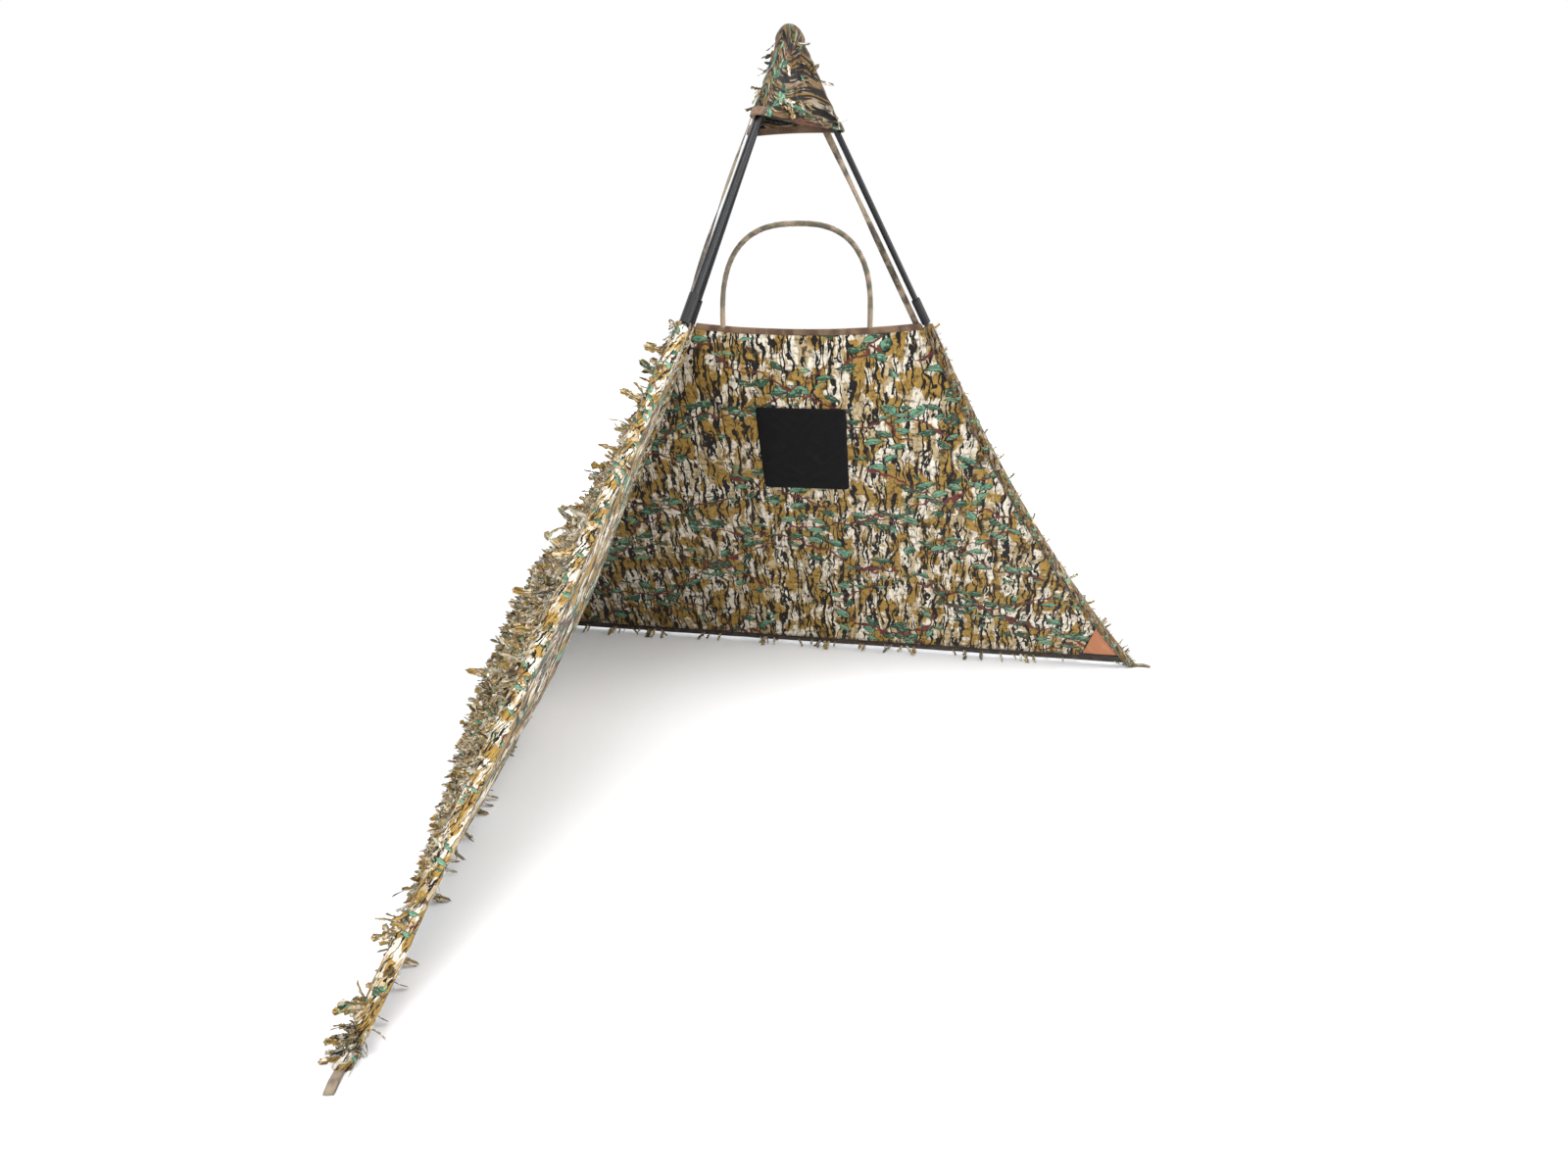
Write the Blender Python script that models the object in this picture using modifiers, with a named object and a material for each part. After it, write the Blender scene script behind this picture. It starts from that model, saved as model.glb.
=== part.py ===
"""Ground blind: two cloth walls hung on three bowed poles that fan out from a hub under a cloth hood."""

import math

import bmesh
import bpy
from mathutils import Matrix, Vector

# Stance
APEX_Z = 1.524  # where the straight tops of the three poles would meet
WALL_TOP_Z = 0.983
WALL_TOP_R = 0.350  # from the middle axis to a pole at the top of the walls
FOOT_R = 1.147
FRONT_TURN = math.radians(105.5)  # in plan, from the corner pole to each front pole
LEFT_BOW = 0.15  # bow of a lower section; at 1 it leaves its collar without a kink
RIGHT_BOW = 1.2
CORNER_BOW = 1.0

# Clearance between pieces that touch, and cloth
GAP = 0.0003
CLOTH = 0.002
WEBBING = 0.0016

# Poles, their collars and feet
POLE_D = 0.0127
COLLAR_WALL = 0.0031
COLLAR_LENGTH = 0.060
FOOT_WALL = 0.0028
FOOT_LENGTH = 0.045
FOOT_SOLE = 0.010  # height of a pole's lower end above the floor
SLEEVE_EASE = 0.0006
SLEEVE_WALL = 0.005

# Hub, hinge eyes and pins
PIVOT_RUN = 0.064  # from the apex down each pole to its hinge pin
CORE_R = 0.021
CORE_DROP = 0.036  # from the apex down to the underside of the core
CORE_HEIGHT = 0.026
CAP_RISE = 0.018
EYE_R = 0.010
EYE_THICK = 0.010
CHEEK_THICK = 0.004
CHEEK_REACH = 0.040
SOCKET_WALL = 0.003
SOCKET_START = 0.0125
SOCKET_LENGTH = 0.040
SOCKET_DEPTH = 0.030
PIN_D = 0.006
PIN_PLAY = 0.0003
PIN_HEAD_D = 0.010
PIN_HEAD = 0.002

# Hood
HOOD_DROP = 0.155  # from the apex down to the cloth's lower edge
HOOD_SHOULDER = 0.0093  # from the hub cap's underside down to where the hood's top starts to round over
HOOD_LOW_ROUND = 0.018  # round of the cloth about each pole at the lower edge
HOOD_HIGH_ROUND = 0.0255
HOOD_HEM = 0.012

# Walls
TOP_HEM = 0.014
BOTTOM_HEM = 0.019
HEM_THICK = 0.004
HEM_CLEAR = 0.012
TOP_SAG = 0.014
LEFT_SLACK = -0.033  # how far a lining stands out; below zero it bags inwards
RIGHT_SLACK = 0.045
LEFT_BILLOW = 0.072  # how far a leaf layer stands out
RIGHT_BILLOW = 0.045
BILLOW_PEAK = 0.28  # share of the wall's height
LEAF_LIFT = 0.007  # from the lining out to the leaf layer at the sleeves
LEAF_PUFF = 0.016

# Straps from the hood to the walls, and stake loops at the feet
STRAP_WIDTH = 0.014
STRAP_OFFSET = 0.022
STRAP_LAP = 0.015
LOOP_LENGTH = 0.055
LOOP_GAP = 0.010
LOOP_HEIGHT = 0.015

# Pieces on the right wall, sized along the cloth; shifts are towards the corner pole
HOOP_WIDTH = 0.350
HOOP_HEIGHT = 0.222
HOOP_LEG = 0.020  # straight length at each end of the arch
HOOP_D = 0.013
HOOP_SQUARENESS = 2.6
CENTRE_SHIFT = 0.025
PATCH_WIDTH = 0.230
PATCH_HEIGHT = 0.260
PATCH_DROP = 0.218
POCKET_WIDTH = 0.110
POCKET_HEIGHT = 0.110

# Facets
ROUND_SIDES = 20
BORE_SIDES = 24
TUBE_SIDES = 12
BEND_STEPS = 16
LINING_GRID = (20, 12)
LEAF_GRID = (18, 11)
STRIP_STEPS = 16
PATCH_GRID = (6, 6)
HOOD_SIDES = 36
HOOD_WALL_STEPS = 4
DOME_STEPS = 5
HOOP_STEPS = 24
LOOP_ARC_STEPS = 8

# Sizes that follow from the ones above
SIDES = ("left", "right")
LEGS = ("left", "right", "corner")
SLACK = {"left": LEFT_SLACK, "right": RIGHT_SLACK}
BILLOW = {"left": LEFT_BILLOW, "right": RIGHT_BILLOW}
BOW = {"left": LEFT_BOW, "right": RIGHT_BOW, "corner": CORNER_BOW}
UP = Vector((0, 0, 1))
CORNER_AZIMUTH = math.pi / 2
AZIMUTH = {
    "left": CORNER_AZIMUTH + FRONT_TURN,
    "right": CORNER_AZIMUTH - FRONT_TURN,
    "corner": CORNER_AZIMUTH,
}
TILT = math.atan2(WALL_TOP_R, APEX_Z - WALL_TOP_Z)
UPPER_RUN = math.hypot(WALL_TOP_R, APEX_Z - WALL_TOP_Z)
FLARE = math.atan2(FOOT_R - WALL_TOP_R, WALL_TOP_Z) - TILT
LOWER_REACH = math.hypot(FOOT_R - WALL_TOP_R, WALL_TOP_Z)
BEND_R = {leg: LOWER_REACH / (2 * math.sin(FLARE * bow)) for leg, bow in BOW.items()}
START_LEAN = {leg: TILT + FLARE * (1 - bow) for leg, bow in BOW.items()}
END_LEAN = {leg: TILT + FLARE * (1 + bow) for leg, bow in BOW.items()}
POLE_RUN = {leg: UPPER_RUN + 2 * FLARE * bow * BEND_R[leg] for leg, bow in BOW.items()}
POLE_R = POLE_D / 2
BORE_R = POLE_R + GAP
COLLAR_R = BORE_R + COLLAR_WALL
FOOT_TIP_R = BORE_R + FOOT_WALL
SOCKET_R = BORE_R + SOCKET_WALL
SLEEVE_BORE_R = POLE_R + SLEEVE_EASE
SLEEVE_R = SLEEVE_BORE_R + SLEEVE_WALL
POLE_START = PIVOT_RUN + SOCKET_START + SOCKET_LENGTH - SOCKET_DEPTH + GAP
SPLIT_RUN = UPPER_RUN - COLLAR_LENGTH / 2
SLEEVE_START = {leg: UPPER_RUN + GAP + SLEEVE_R * abs(START_LEAN[leg] - TILT) for leg in LEGS}
PIN_BORE_R = PIN_D / 2 + PIN_PLAY
CLEVIS_HALF = EYE_THICK / 2 + GAP + CHEEK_THICK
CORE_LOW_Z = APEX_Z - CORE_DROP
CAP_LOW_Z = CORE_LOW_Z + CORE_HEIGHT + GAP
CAP_TOP_Z = CAP_LOW_Z + CAP_RISE
HOOD_LOW_Z = APEX_Z - HOOD_DROP
HOOD_SHOULDER_Z = CAP_LOW_Z - HOOD_SHOULDER
HOOD_TOP_Z = CAP_TOP_Z + GAP + CLOTH
LINING_LOW_Z = HEM_CLEAR + BOTTOM_HEM + GAP + CLOTH / 2
LINING_HIGH_Z = WALL_TOP_Z - TOP_HEM - GAP
WALL_REACH = SLEEVE_R + GAP
LEAF_REACH = math.sqrt((SLEEVE_R + GAP) ** 2 - (LEAF_LIFT - CLOTH / 2) ** 2)
LOOP_ROUND = LOOP_GAP / 2 + WEBBING
LOOP_RUN = LOOP_LENGTH - 2 * LOOP_ROUND


def clear_scene():
    for thing in list(bpy.data.objects):
        bpy.data.objects.remove(thing, do_unlink=True)


def collection(name):
    made = bpy.data.collections.new(name)
    bpy.context.scene.collection.children.link(made)
    return made


def finish(name, colour, roughness, metallic=0.0):
    material = bpy.data.materials.new(name)
    material.use_nodes = True
    shader = material.node_tree.nodes["Principled BSDF"]
    shader.inputs["Base Color"].default_value = (*colour, 1)
    shader.inputs["Roughness"].default_value = roughness
    shader.inputs["Metallic"].default_value = metallic
    return material


def add_object(name, data, material, matrix=None, parent=None):
    made = bpy.data.objects.new(name, data)
    PARTS.objects.link(made)
    data.materials.append(material)
    made.matrix_world = matrix or Matrix.Identity(4)
    if parent:
        made.parent = parent
        made.matrix_parent_inverse = Matrix.Translation(-parent.location)
    return made


def add_mesh(name, bm, material, matrix=None, parent=None, smooth_to=None):
    mesh = bpy.data.meshes.new(name)
    bm.to_mesh(mesh)
    bm.free()
    if smooth_to:
        mesh.shade_smooth()
        mesh.set_sharp_from_angle(angle=smooth_to)
    return add_object(name, mesh, material, matrix, parent)


def combine(target, shape, operation):
    """Joins a guide shape to a piece, or cuts it away."""
    PARTS.objects.unlink(shape)
    CUTTERS.objects.link(shape)
    shape.hide_render = True
    shape.display_type = "WIRE"
    step = target.modifiers.new(shape.name, "BOOLEAN")
    step.operation = operation
    step.solver = "EXACT"
    step.object = shape


def aim(origin, along, across=None):
    """Placement whose Z runs along one direction and whose X leans towards another."""
    z = along.normalized()
    hint = across or (UP if abs(z.dot(UP)) < 0.9 else Vector((1, 0, 0)))
    x = (hint - z * hint.dot(z)).normalized()
    turn = Matrix((x, z.cross(x), z)).transposed()
    return Matrix.Translation(origin) @ turn.to_4x4()


def cylinder(name, radius, length, matrix, material, sides=ROUND_SIDES, parent=None):
    """Cylinder from the placement's origin along its Z."""
    bm = bmesh.new()
    bmesh.ops.create_cone(bm, cap_ends=True, segments=sides, radius1=radius, radius2=radius, depth=length)
    bmesh.ops.translate(bm, verts=bm.verts, vec=UP * (length / 2))
    return add_mesh(name, bm, material, matrix, parent, SMOOTH_ANGLE)


def lug(name, radius, thickness, reach, matrix, material):
    """Flat eye about the placement's Z, drawn out along its -X to a tail whose middle is that far off."""
    bm = bmesh.new()
    bmesh.ops.create_cone(
        bm, cap_ends=True, segments=ROUND_SIDES, radius1=radius, radius2=radius, depth=thickness
    )
    tail = [vert for vert in bm.verts if vert.co.x < -GAP]
    bmesh.ops.translate(bm, verts=tail, vec=(-reach, 0, 0))
    return add_mesh(name, bm, material, matrix, None, SMOOTH_ANGLE)


def block(name, size, matrix, material, parent=None):
    bm = bmesh.new()
    bmesh.ops.create_cube(bm, size=1)
    bmesh.ops.scale(bm, verts=bm.verts, vec=size)
    return add_mesh(name, bm, material, matrix, parent)


def turned(name, profile, closed, matrix, material, parent=None):
    """Profile of (radius, height) points, top to bottom on its outer side, turned about Z."""
    bm = bmesh.new()
    points = [bm.verts.new((radius, 0, height)) for radius, height in profile]
    for first, second in zip(points, points[1:] + points[:1] if closed else points[1:]):
        bm.edges.new((first, second))
    made = add_mesh(name, bm, material, matrix, parent)
    screw = made.modifiers.new("turn", "SCREW")
    screw.steps = screw.render_steps = ROUND_SIDES
    screw.use_merge_vertices = True
    screw.merge_threshold = 0.00005
    return made


def rod(name, points, diameter, material, parent=None):
    curve = bpy.data.curves.new(name, "CURVE")
    curve.dimensions = "3D"
    curve.bevel_depth = diameter / 2
    curve.bevel_resolution = TUBE_SIDES // 2 - 2
    curve.use_fill_caps = True
    spline = curve.splines.new("POLY")
    spline.points.add(len(points) - 1)
    for knot, place in zip(spline.points, points):
        knot.co = (*place, 1)
    return add_object(name, curve, material, None, parent)


def sheet(name, grid, place, thickness, material, parent=None):
    """Cloth of one thickness: place gives the point for shares of the way across and up."""
    bm = bmesh.new()
    bmesh.ops.create_grid(bm, x_segments=grid[0], y_segments=grid[1], size=0.5)
    for vert in bm.verts:
        vert.co = place(vert.co.x + 0.5, vert.co.y + 0.5)
    made = add_mesh(name, bm, material, None, parent, math.pi)
    skin = made.modifiers.new("cloth", "SOLIDIFY")
    skin.thickness = thickness
    skin.offset = 0
    return made


def outward(leg):
    return Vector((math.cos(AZIMUTH[leg]), math.sin(AZIMUTH[leg]), 0))


def pole_lean(leg, run):
    if run <= UPPER_RUN:
        return TILT
    return START_LEAN[leg] + (run - UPPER_RUN) / BEND_R[leg]


def pole_point(leg, run):
    """Point on a pole's axis, run metres below the apex along it."""
    straight = min(run, UPPER_RUN)
    reach, height = straight * math.sin(TILT), APEX_Z - straight * math.cos(TILT)
    if run > UPPER_RUN:
        start, lean = START_LEAN[leg], pole_lean(leg, run)
        reach += BEND_R[leg] * (math.cos(start) - math.cos(lean))
        height -= BEND_R[leg] * (math.sin(lean) - math.sin(start))
    return PLAN_CENTRE + outward(leg) * reach + UP * height


def pole_direction(leg, run):
    lean = pole_lean(leg, run)
    return outward(leg) * math.sin(lean) - UP * math.cos(lean)


def run_at(leg, height):
    """Distance along a pole from the apex down to a height."""
    if height >= WALL_TOP_Z:
        return (APEX_Z - height) / math.cos(TILT)
    start = START_LEAN[leg]
    lean = math.asin(math.sin(start) + (WALL_TOP_Z - height) / BEND_R[leg])
    return UPPER_RUN + BEND_R[leg] * (lean - start)


def pole_end(leg):
    return POLE_RUN[leg] - FOOT_SOLE / math.cos(END_LEAN[leg])


def fold_axis(side):
    """Axis of a front pole's hinge: a positive turn carries the pole to the corner pole."""
    return pole_direction(side, 0).cross(pole_direction("corner", 0)).normalized()


def wall_outward(side):
    axis = fold_axis(side)
    return axis if axis.dot(outward(side) + outward("corner")) > 0 else -axis


def wall_row(side, height, reach):
    """Ends of a level line across a wall, each that far from its pole's axis."""
    runs = {leg: run_at(leg, height) for leg in ("corner", side)}
    corner, front = (pole_point(leg, run) for leg, run in runs.items())
    along = (front - corner).normalized()
    slopes = [along.dot(pole_direction(leg, run)) for leg, run in runs.items()]
    start, end = (along * reach / math.sqrt(1 - slope**2) for slope in slopes)
    return corner + start, front - end


def top_sag(across):
    return TOP_SAG * 4 * across * (1 - across)


def wall_share(height):
    """Share of the way up a wall's lining."""
    share = (height - LINING_LOW_Z) / (LINING_HIGH_Z - LINING_LOW_Z)
    return min(max(share, 0), 1)


def bulge(across, up):
    """Share of a cloth's slack at a place on a wall."""
    shoulder = (1 - BILLOW_PEAK) / BILLOW_PEAK
    hump = up / BILLOW_PEAK * ((1 - up) / (1 - BILLOW_PEAK)) ** shoulder
    return hump * math.sin(math.pi * across)


def wall_point(side, across, height, reach=WALL_REACH, lift=0.0, slack=SLACK):
    start, end = wall_row(side, height, reach)
    up = wall_share(height)
    stand = slack[side] * bulge(across, up) + lift
    return start.lerp(end, across) + wall_outward(side) * stand - UP * top_sag(across) * up**3


def make_hub():
    apex = PLAN_CENTRE + UP * APEX_Z
    core_low = PLAN_CENTRE + UP * CORE_LOW_Z
    hub = cylinder("hub_body", CORE_R, CORE_HEIGHT, aim(core_low, UP), MOULDING)
    corner_way = pole_direction("corner", 0)
    socket_run = PIVOT_RUN + SOCKET_START + SOCKET_LENGTH
    core_run = CORE_DROP - CORE_HEIGHT / 2
    arm_start = apex + corner_way * core_run
    arm = cylinder("corner_arm", SOCKET_R, socket_run - core_run, aim(arm_start, corner_way), MOULDING)
    combine(hub, arm, "UNION")
    for side in SIDES:
        way, axis = pole_direction(side, 0), fold_axis(side)
        pin = pole_point(side, PIVOT_RUN)
        for face in (-1, 1):
            middle = pin + axis * face * (CLEVIS_HALF - CHEEK_THICK / 2)
            cheek_at = aim(middle, axis, way)
            cheek = lug(f"{side}_cheek", EYE_R, CHEEK_THICK, CHEEK_REACH - EYE_R, cheek_at, MOULDING)
            combine(hub, cheek, "UNION")
        bore_at = aim(pin - axis * 2 * CLEVIS_HALF, axis)
        bore = cylinder(f"{side}_pin_bore", PIN_BORE_R, 4 * CLEVIS_HALF, bore_at, MOULDING, BORE_SIDES)
        combine(hub, bore, "DIFFERENCE")
    bore_at = aim(pole_point("corner", socket_run - SOCKET_DEPTH), corner_way)
    pole_bore = cylinder("corner_pole_bore", BORE_R, 2 * SOCKET_DEPTH, bore_at, MOULDING, BORE_SIDES)
    combine(hub, pole_bore, "DIFFERENCE")
    steps = [math.pi / 2 * (1 - k / DOME_STEPS) for k in range(DOME_STEPS + 1)]
    dome = [(CORE_R * math.cos(turn), CAP_RISE * math.sin(turn)) for turn in steps]
    cap_at = aim(PLAN_CENTRE + UP * CAP_LOW_Z, UP)
    turned("hub_cap", [(0, CAP_RISE), *dome[1:], (0, 0)], False, cap_at, MOULDING)


def make_pin(side):
    reach, head = CLEVIS_HALF + GAP, PIN_HEAD_D / 2
    outer = reach + PIN_HEAD
    profile = [(0, outer), (head, outer), (head, reach), (PIN_D / 2, reach)]
    profile += [(radius, -height) for radius, height in reversed(profile)]
    turned(f"{side}_pin", profile, False, aim(pole_point(side, PIVOT_RUN), fold_axis(side)), STEEL)


def make_knuckle(side, pivot):
    way, axis = pole_direction(side, 0), fold_axis(side)
    pin = pole_point(side, PIVOT_RUN)
    socket_at = aim(pin + way * SOCKET_START, way)
    knuckle = cylinder(f"{side}_knuckle", SOCKET_R, SOCKET_LENGTH, socket_at, MOULDING, parent=pivot)
    neck_length = SOCKET_START + SOCKET_LENGTH - SOCKET_DEPTH
    eye = lug(f"{side}_eye", EYE_R, EYE_THICK, neck_length - EYE_R, aim(pin, axis, -way), MOULDING)
    combine(knuckle, eye, "UNION")
    bore_at = aim(pole_point(side, PIVOT_RUN + neck_length), way)
    pole_bore = cylinder(f"{side}_pole_bore", BORE_R, 2 * SOCKET_DEPTH, bore_at, MOULDING, BORE_SIDES)
    combine(knuckle, pole_bore, "DIFFERENCE")
    hole_at = aim(pin - axis * EYE_THICK, axis)
    hole = cylinder(f"{side}_eye_bore", PIN_BORE_R, 2 * EYE_THICK, hole_at, MOULDING, BORE_SIDES)
    combine(knuckle, hole, "DIFFERENCE")


def make_pole(leg, pivot):
    upper = [pole_point(leg, POLE_START), pole_point(leg, SPLIT_RUN - GAP)]
    rod(f"{leg}_pole_upper", upper, POLE_D, GRAPHITE, pivot)
    bend = [UPPER_RUN + (pole_end(leg) - UPPER_RUN) * k / BEND_STEPS for k in range(BEND_STEPS + 1)]
    lower = [pole_point(leg, run) for run in (SPLIT_RUN, *bend)]
    rod(f"{leg}_pole_lower", lower, POLE_D, GRAPHITE, pivot)
    ring = [(COLLAR_R, COLLAR_LENGTH), (COLLAR_R, 0), (BORE_R, 0), (BORE_R, COLLAR_LENGTH)]
    collar_at = aim(pole_point(leg, UPPER_RUN - COLLAR_LENGTH), pole_direction(leg, 0))
    turned(f"{leg}_collar", ring, True, collar_at, MOULDING, pivot)


def make_foot(leg, pivot):
    """Cap over a pole's lower end, cut flat where it stands."""
    top_run = POLE_RUN[leg] - FOOT_LENGTH
    way = pole_direction(leg, top_run + FOOT_LENGTH / 2)
    at = aim(pole_point(leg, top_run), way)
    bm = bmesh.new()
    reach = 2 * FOOT_LENGTH
    bmesh.ops.create_cone(
        bm, cap_ends=True, segments=ROUND_SIDES, radius1=FOOT_TIP_R, radius2=FOOT_TIP_R, depth=reach
    )
    bmesh.ops.translate(bm, verts=bm.verts, vec=UP * (reach / 2))
    bmesh.ops.transform(bm, matrix=at, verts=bm.verts)
    everything = bm.verts[:] + bm.edges[:] + bm.faces[:]
    cut = bmesh.ops.bisect_plane(bm, geom=everything, plane_co=(0, 0, 0), plane_no=-UP, clear_outer=True)
    rim = [part for part in cut["geom_cut"] if isinstance(part, bmesh.types.BMEdge)]
    bmesh.ops.contextual_create(bm, geom=rim)
    bmesh.ops.recalc_face_normals(bm, faces=bm.faces)
    foot = add_mesh(f"{leg}_foot", bm, RUBBER, None, pivot, SMOOTH_ANGLE)
    depth = pole_end(leg) + GAP - top_run
    bore_at = aim(pole_point(leg, top_run) - way * depth, way)
    bore = cylinder(f"{leg}_foot_bore", BORE_R, 2 * depth, bore_at, RUBBER, BORE_SIDES)
    combine(foot, bore, "DIFFERENCE")


def make_sleeve(leg, pivot):
    """Cloth channel round the bowed length of a pole: a ring swept about the bow's centre."""
    bm = bmesh.new()
    start, end = SLEEVE_START[leg], POLE_RUN[leg] - FOOT_LENGTH - GAP
    at = aim(pole_point(leg, start), pole_direction(leg, start))
    for radius in (SLEEVE_BORE_R, SLEEVE_R):
        bmesh.ops.create_circle(bm, segments=TUBE_SIDES, radius=radius)
    bmesh.ops.bridge_loops(bm, edges=bm.edges[:])
    bmesh.ops.transform(bm, matrix=at, verts=bm.verts)
    lean = pole_lean(leg, start)
    centre = outward(leg) * math.cos(lean) + UP * math.sin(lean)
    bmesh.ops.spin(
        bm,
        geom=bm.verts[:] + bm.edges[:] + bm.faces[:],
        cent=pole_point(leg, start) + centre * BEND_R[leg],
        axis=outward(leg).cross(UP),
        angle=(end - start) / BEND_R[leg],
        steps=BEND_STEPS,
    )
    bmesh.ops.recalc_face_normals(bm, faces=bm.faces)
    add_mesh(f"{leg}_sleeve", bm, LEAF_CLOTH, None, pivot, SMOOTH_ANGLE)


def hood_round(height):
    share = (height - HOOD_LOW_Z) / (HOOD_SHOULDER_Z - HOOD_LOW_Z)
    return HOOD_LOW_ROUND + (HOOD_HIGH_ROUND - HOOD_LOW_ROUND) * share


def strap_ends(leg):
    """Where a strap's middle line starts under the hood and ends on its wall or sleeve."""
    hem_z = HOOD_LOW_Z - GAP - HOOD_HEM
    high, low = run_at(leg, hem_z), run_at(leg, WALL_TOP_Z - STRAP_LAP)
    lap = pole_direction(leg, 0) * STRAP_LAP
    if leg == "corner":
        side_way = outward(leg) * math.cos(TILT) + UP * math.sin(TILT)
        hollow = hood_round(hem_z) * math.cos(TILT) - CLOTH
        top_out = math.sqrt(hollow**2 - (STRAP_WIDTH / 2) ** 2) - GAP - WEBBING / 2
        low_out = SLEEVE_R + GAP + WEBBING / 2
        start = pole_point(leg, high) + side_way * top_out
        return start - lap, pole_point(leg, low) + side_way * low_out
    out = wall_outward(leg)
    level = (pole_point("corner", high) - pole_point(leg, high)).normalized()
    way = pole_direction(leg, 0)
    inward = (level - way * level.dot(way)).normalized() * STRAP_OFFSET
    lean = math.hypot(out.x, out.y)
    top_out = hood_round(hem_z) * lean - CLOTH - GAP - WEBBING / 2
    low_out = HEM_THICK / 2 + GAP + WEBBING / 2
    start = pole_point(leg, high) + inward + out * top_out
    return start - lap, pole_point(leg, low) + inward + out * low_out


def make_strap(leg, pivot):
    start, end = strap_ends(leg)
    face = outward(leg) if leg == "corner" else wall_outward(leg)
    way = end - start
    across = way.cross(face)
    at = aim((start + end) / 2, way, across)
    block(f"{leg}_strap", (STRAP_WIDTH, WEBBING, way.length), at, WEBBING_TAN, pivot)


def loop_way(leg):
    """Level direction of a stake loop: on from the bottom hem, or straight out at the corner."""
    return outward(leg) if leg == "corner" else (outward(leg) - outward("corner")).normalized()


def loop_heel(leg):
    """Middle of a stake loop's near end, seen from above, measured from the middle axis."""
    share = outward(leg).dot(loop_way(leg))
    long_half = FOOT_TIP_R / math.cos(END_LEAN[leg])
    clear = math.sqrt((long_half * share) ** 2 + FOOT_TIP_R**2 * (1 - share**2))
    return outward(leg) * FOOT_R + loop_way(leg) * (clear + GAP + LOOP_ROUND)


def plan_centre():
    """Where the middle axis stands so that the whole blind is centred on the origin."""
    tips = [loop_heel(leg) + loop_way(leg) * LOOP_RUN for leg in LEGS]
    spans = [(min(tip[k] for tip in tips), max(tip[k] for tip in tips)) for k in range(2)]
    return Vector((-sum(spans[0]) / 2, -sum(spans[1]) / 2, 0))


def make_stake_loop(leg, pivot):
    """Webbing loop on edge, its eye upright for a stake."""
    curve = bpy.data.curves.new(f"{leg}_stake_loop", "CURVE")
    curve.dimensions = "2D"
    curve.fill_mode = "BOTH"
    curve.extrude = LOOP_HEIGHT / 2
    turns = [math.pi * k / LOOP_ARC_STEPS - math.pi / 2 for k in range(LOOP_ARC_STEPS + 1)]
    for radius in (LOOP_ROUND, LOOP_GAP / 2):
        far = [(LOOP_RUN + radius * math.cos(turn), radius * math.sin(turn)) for turn in turns]
        near = [(-radius * math.cos(turn), -radius * math.sin(turn)) for turn in turns]
        spline = curve.splines.new("POLY")
        spline.points.add(len(far + near) - 1)
        spline.use_cyclic_u = True
        for knot, (x, y) in zip(spline.points, far + near):
            knot.co = (x, y, 0, 1)
    heel = PLAN_CENTRE + loop_heel(leg) + UP * (GAP + LOOP_HEIGHT / 2)
    add_object(f"{leg}_stake_loop", curve, WEBBING_TAN, aim(heel, UP, loop_way(leg)), pivot)


def hood_outline(height):
    """Level section of the hood: the outline round three circles, one about each pole."""
    reach = max(0, APEX_Z - height) * math.tan(TILT)
    middle = PLAN_CENTRE + UP * height
    points = []
    order = ("right", "corner", "left")
    per_leg = HOOD_SIDES // len(order)
    for index, leg in enumerate(order):
        before, after = AZIMUTH[order[index - 1]], AZIMUTH[order[(index + 1) % len(order)]]
        here = AZIMUTH[leg]
        first = here - ((here - before) % math.tau) / 2
        last = here + ((after - here) % math.tau) / 2
        for k in range(per_leg):
            turn = first + (last - first) * (k + 0.5) / per_leg
            arm = Vector((math.cos(turn), math.sin(turn), 0)) * hood_round(min(height, HOOD_SHOULDER_Z))
            points.append(middle + outward(leg) * reach + arm)
    return points


def shell(name, levels, material, crown=None):
    """Thin cloth wall through level outlines, closed at the top where a crown point is given."""
    bm = bmesh.new()
    loops = []
    for outline in levels:
        verts = [bm.verts.new(point) for point in outline]
        loops.append([bm.edges.new(pair) for pair in zip(verts, verts[1:] + verts[:1])])
    for lower, upper in zip(loops, loops[1:]):
        bmesh.ops.bridge_loops(bm, edges=lower + upper)
    if crown:
        tip = bm.verts.new(crown)
        for edge in loops[-1]:
            bm.faces.new((*edge.verts, tip))
    bmesh.ops.recalc_face_normals(bm, faces=bm.faces)
    made = add_mesh(name, bm, material, None, None, math.pi)
    skin = made.modifiers.new("cloth", "SOLIDIFY")
    skin.thickness = CLOTH
    skin.offset = -1
    return made


def make_hood():
    rise = HOOD_SHOULDER_Z - HOOD_LOW_Z
    levels = [hood_outline(HOOD_LOW_Z + rise * k / HOOD_WALL_STEPS) for k in range(HOOD_WALL_STEPS + 1)]
    middle = PLAN_CENTRE + UP * HOOD_SHOULDER_Z
    shoulder = levels[HOOD_WALL_STEPS]
    for k in range(1, DOME_STEPS):
        turn = math.pi / 2 * k / DOME_STEPS
        lifted = middle + UP * (HOOD_TOP_Z - HOOD_SHOULDER_Z) * math.sin(turn)
        levels.append([lifted + (point - middle) * math.cos(turn) for point in shoulder])
    shell("hood", levels, LEAF_CLOTH, PLAN_CENTRE + UP * HOOD_TOP_Z)
    hem = [HOOD_LOW_Z - GAP - HOOD_HEM, HOOD_LOW_Z - GAP]
    shell("hood_hem", [hood_outline(height) for height in hem], BINDING)


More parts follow.
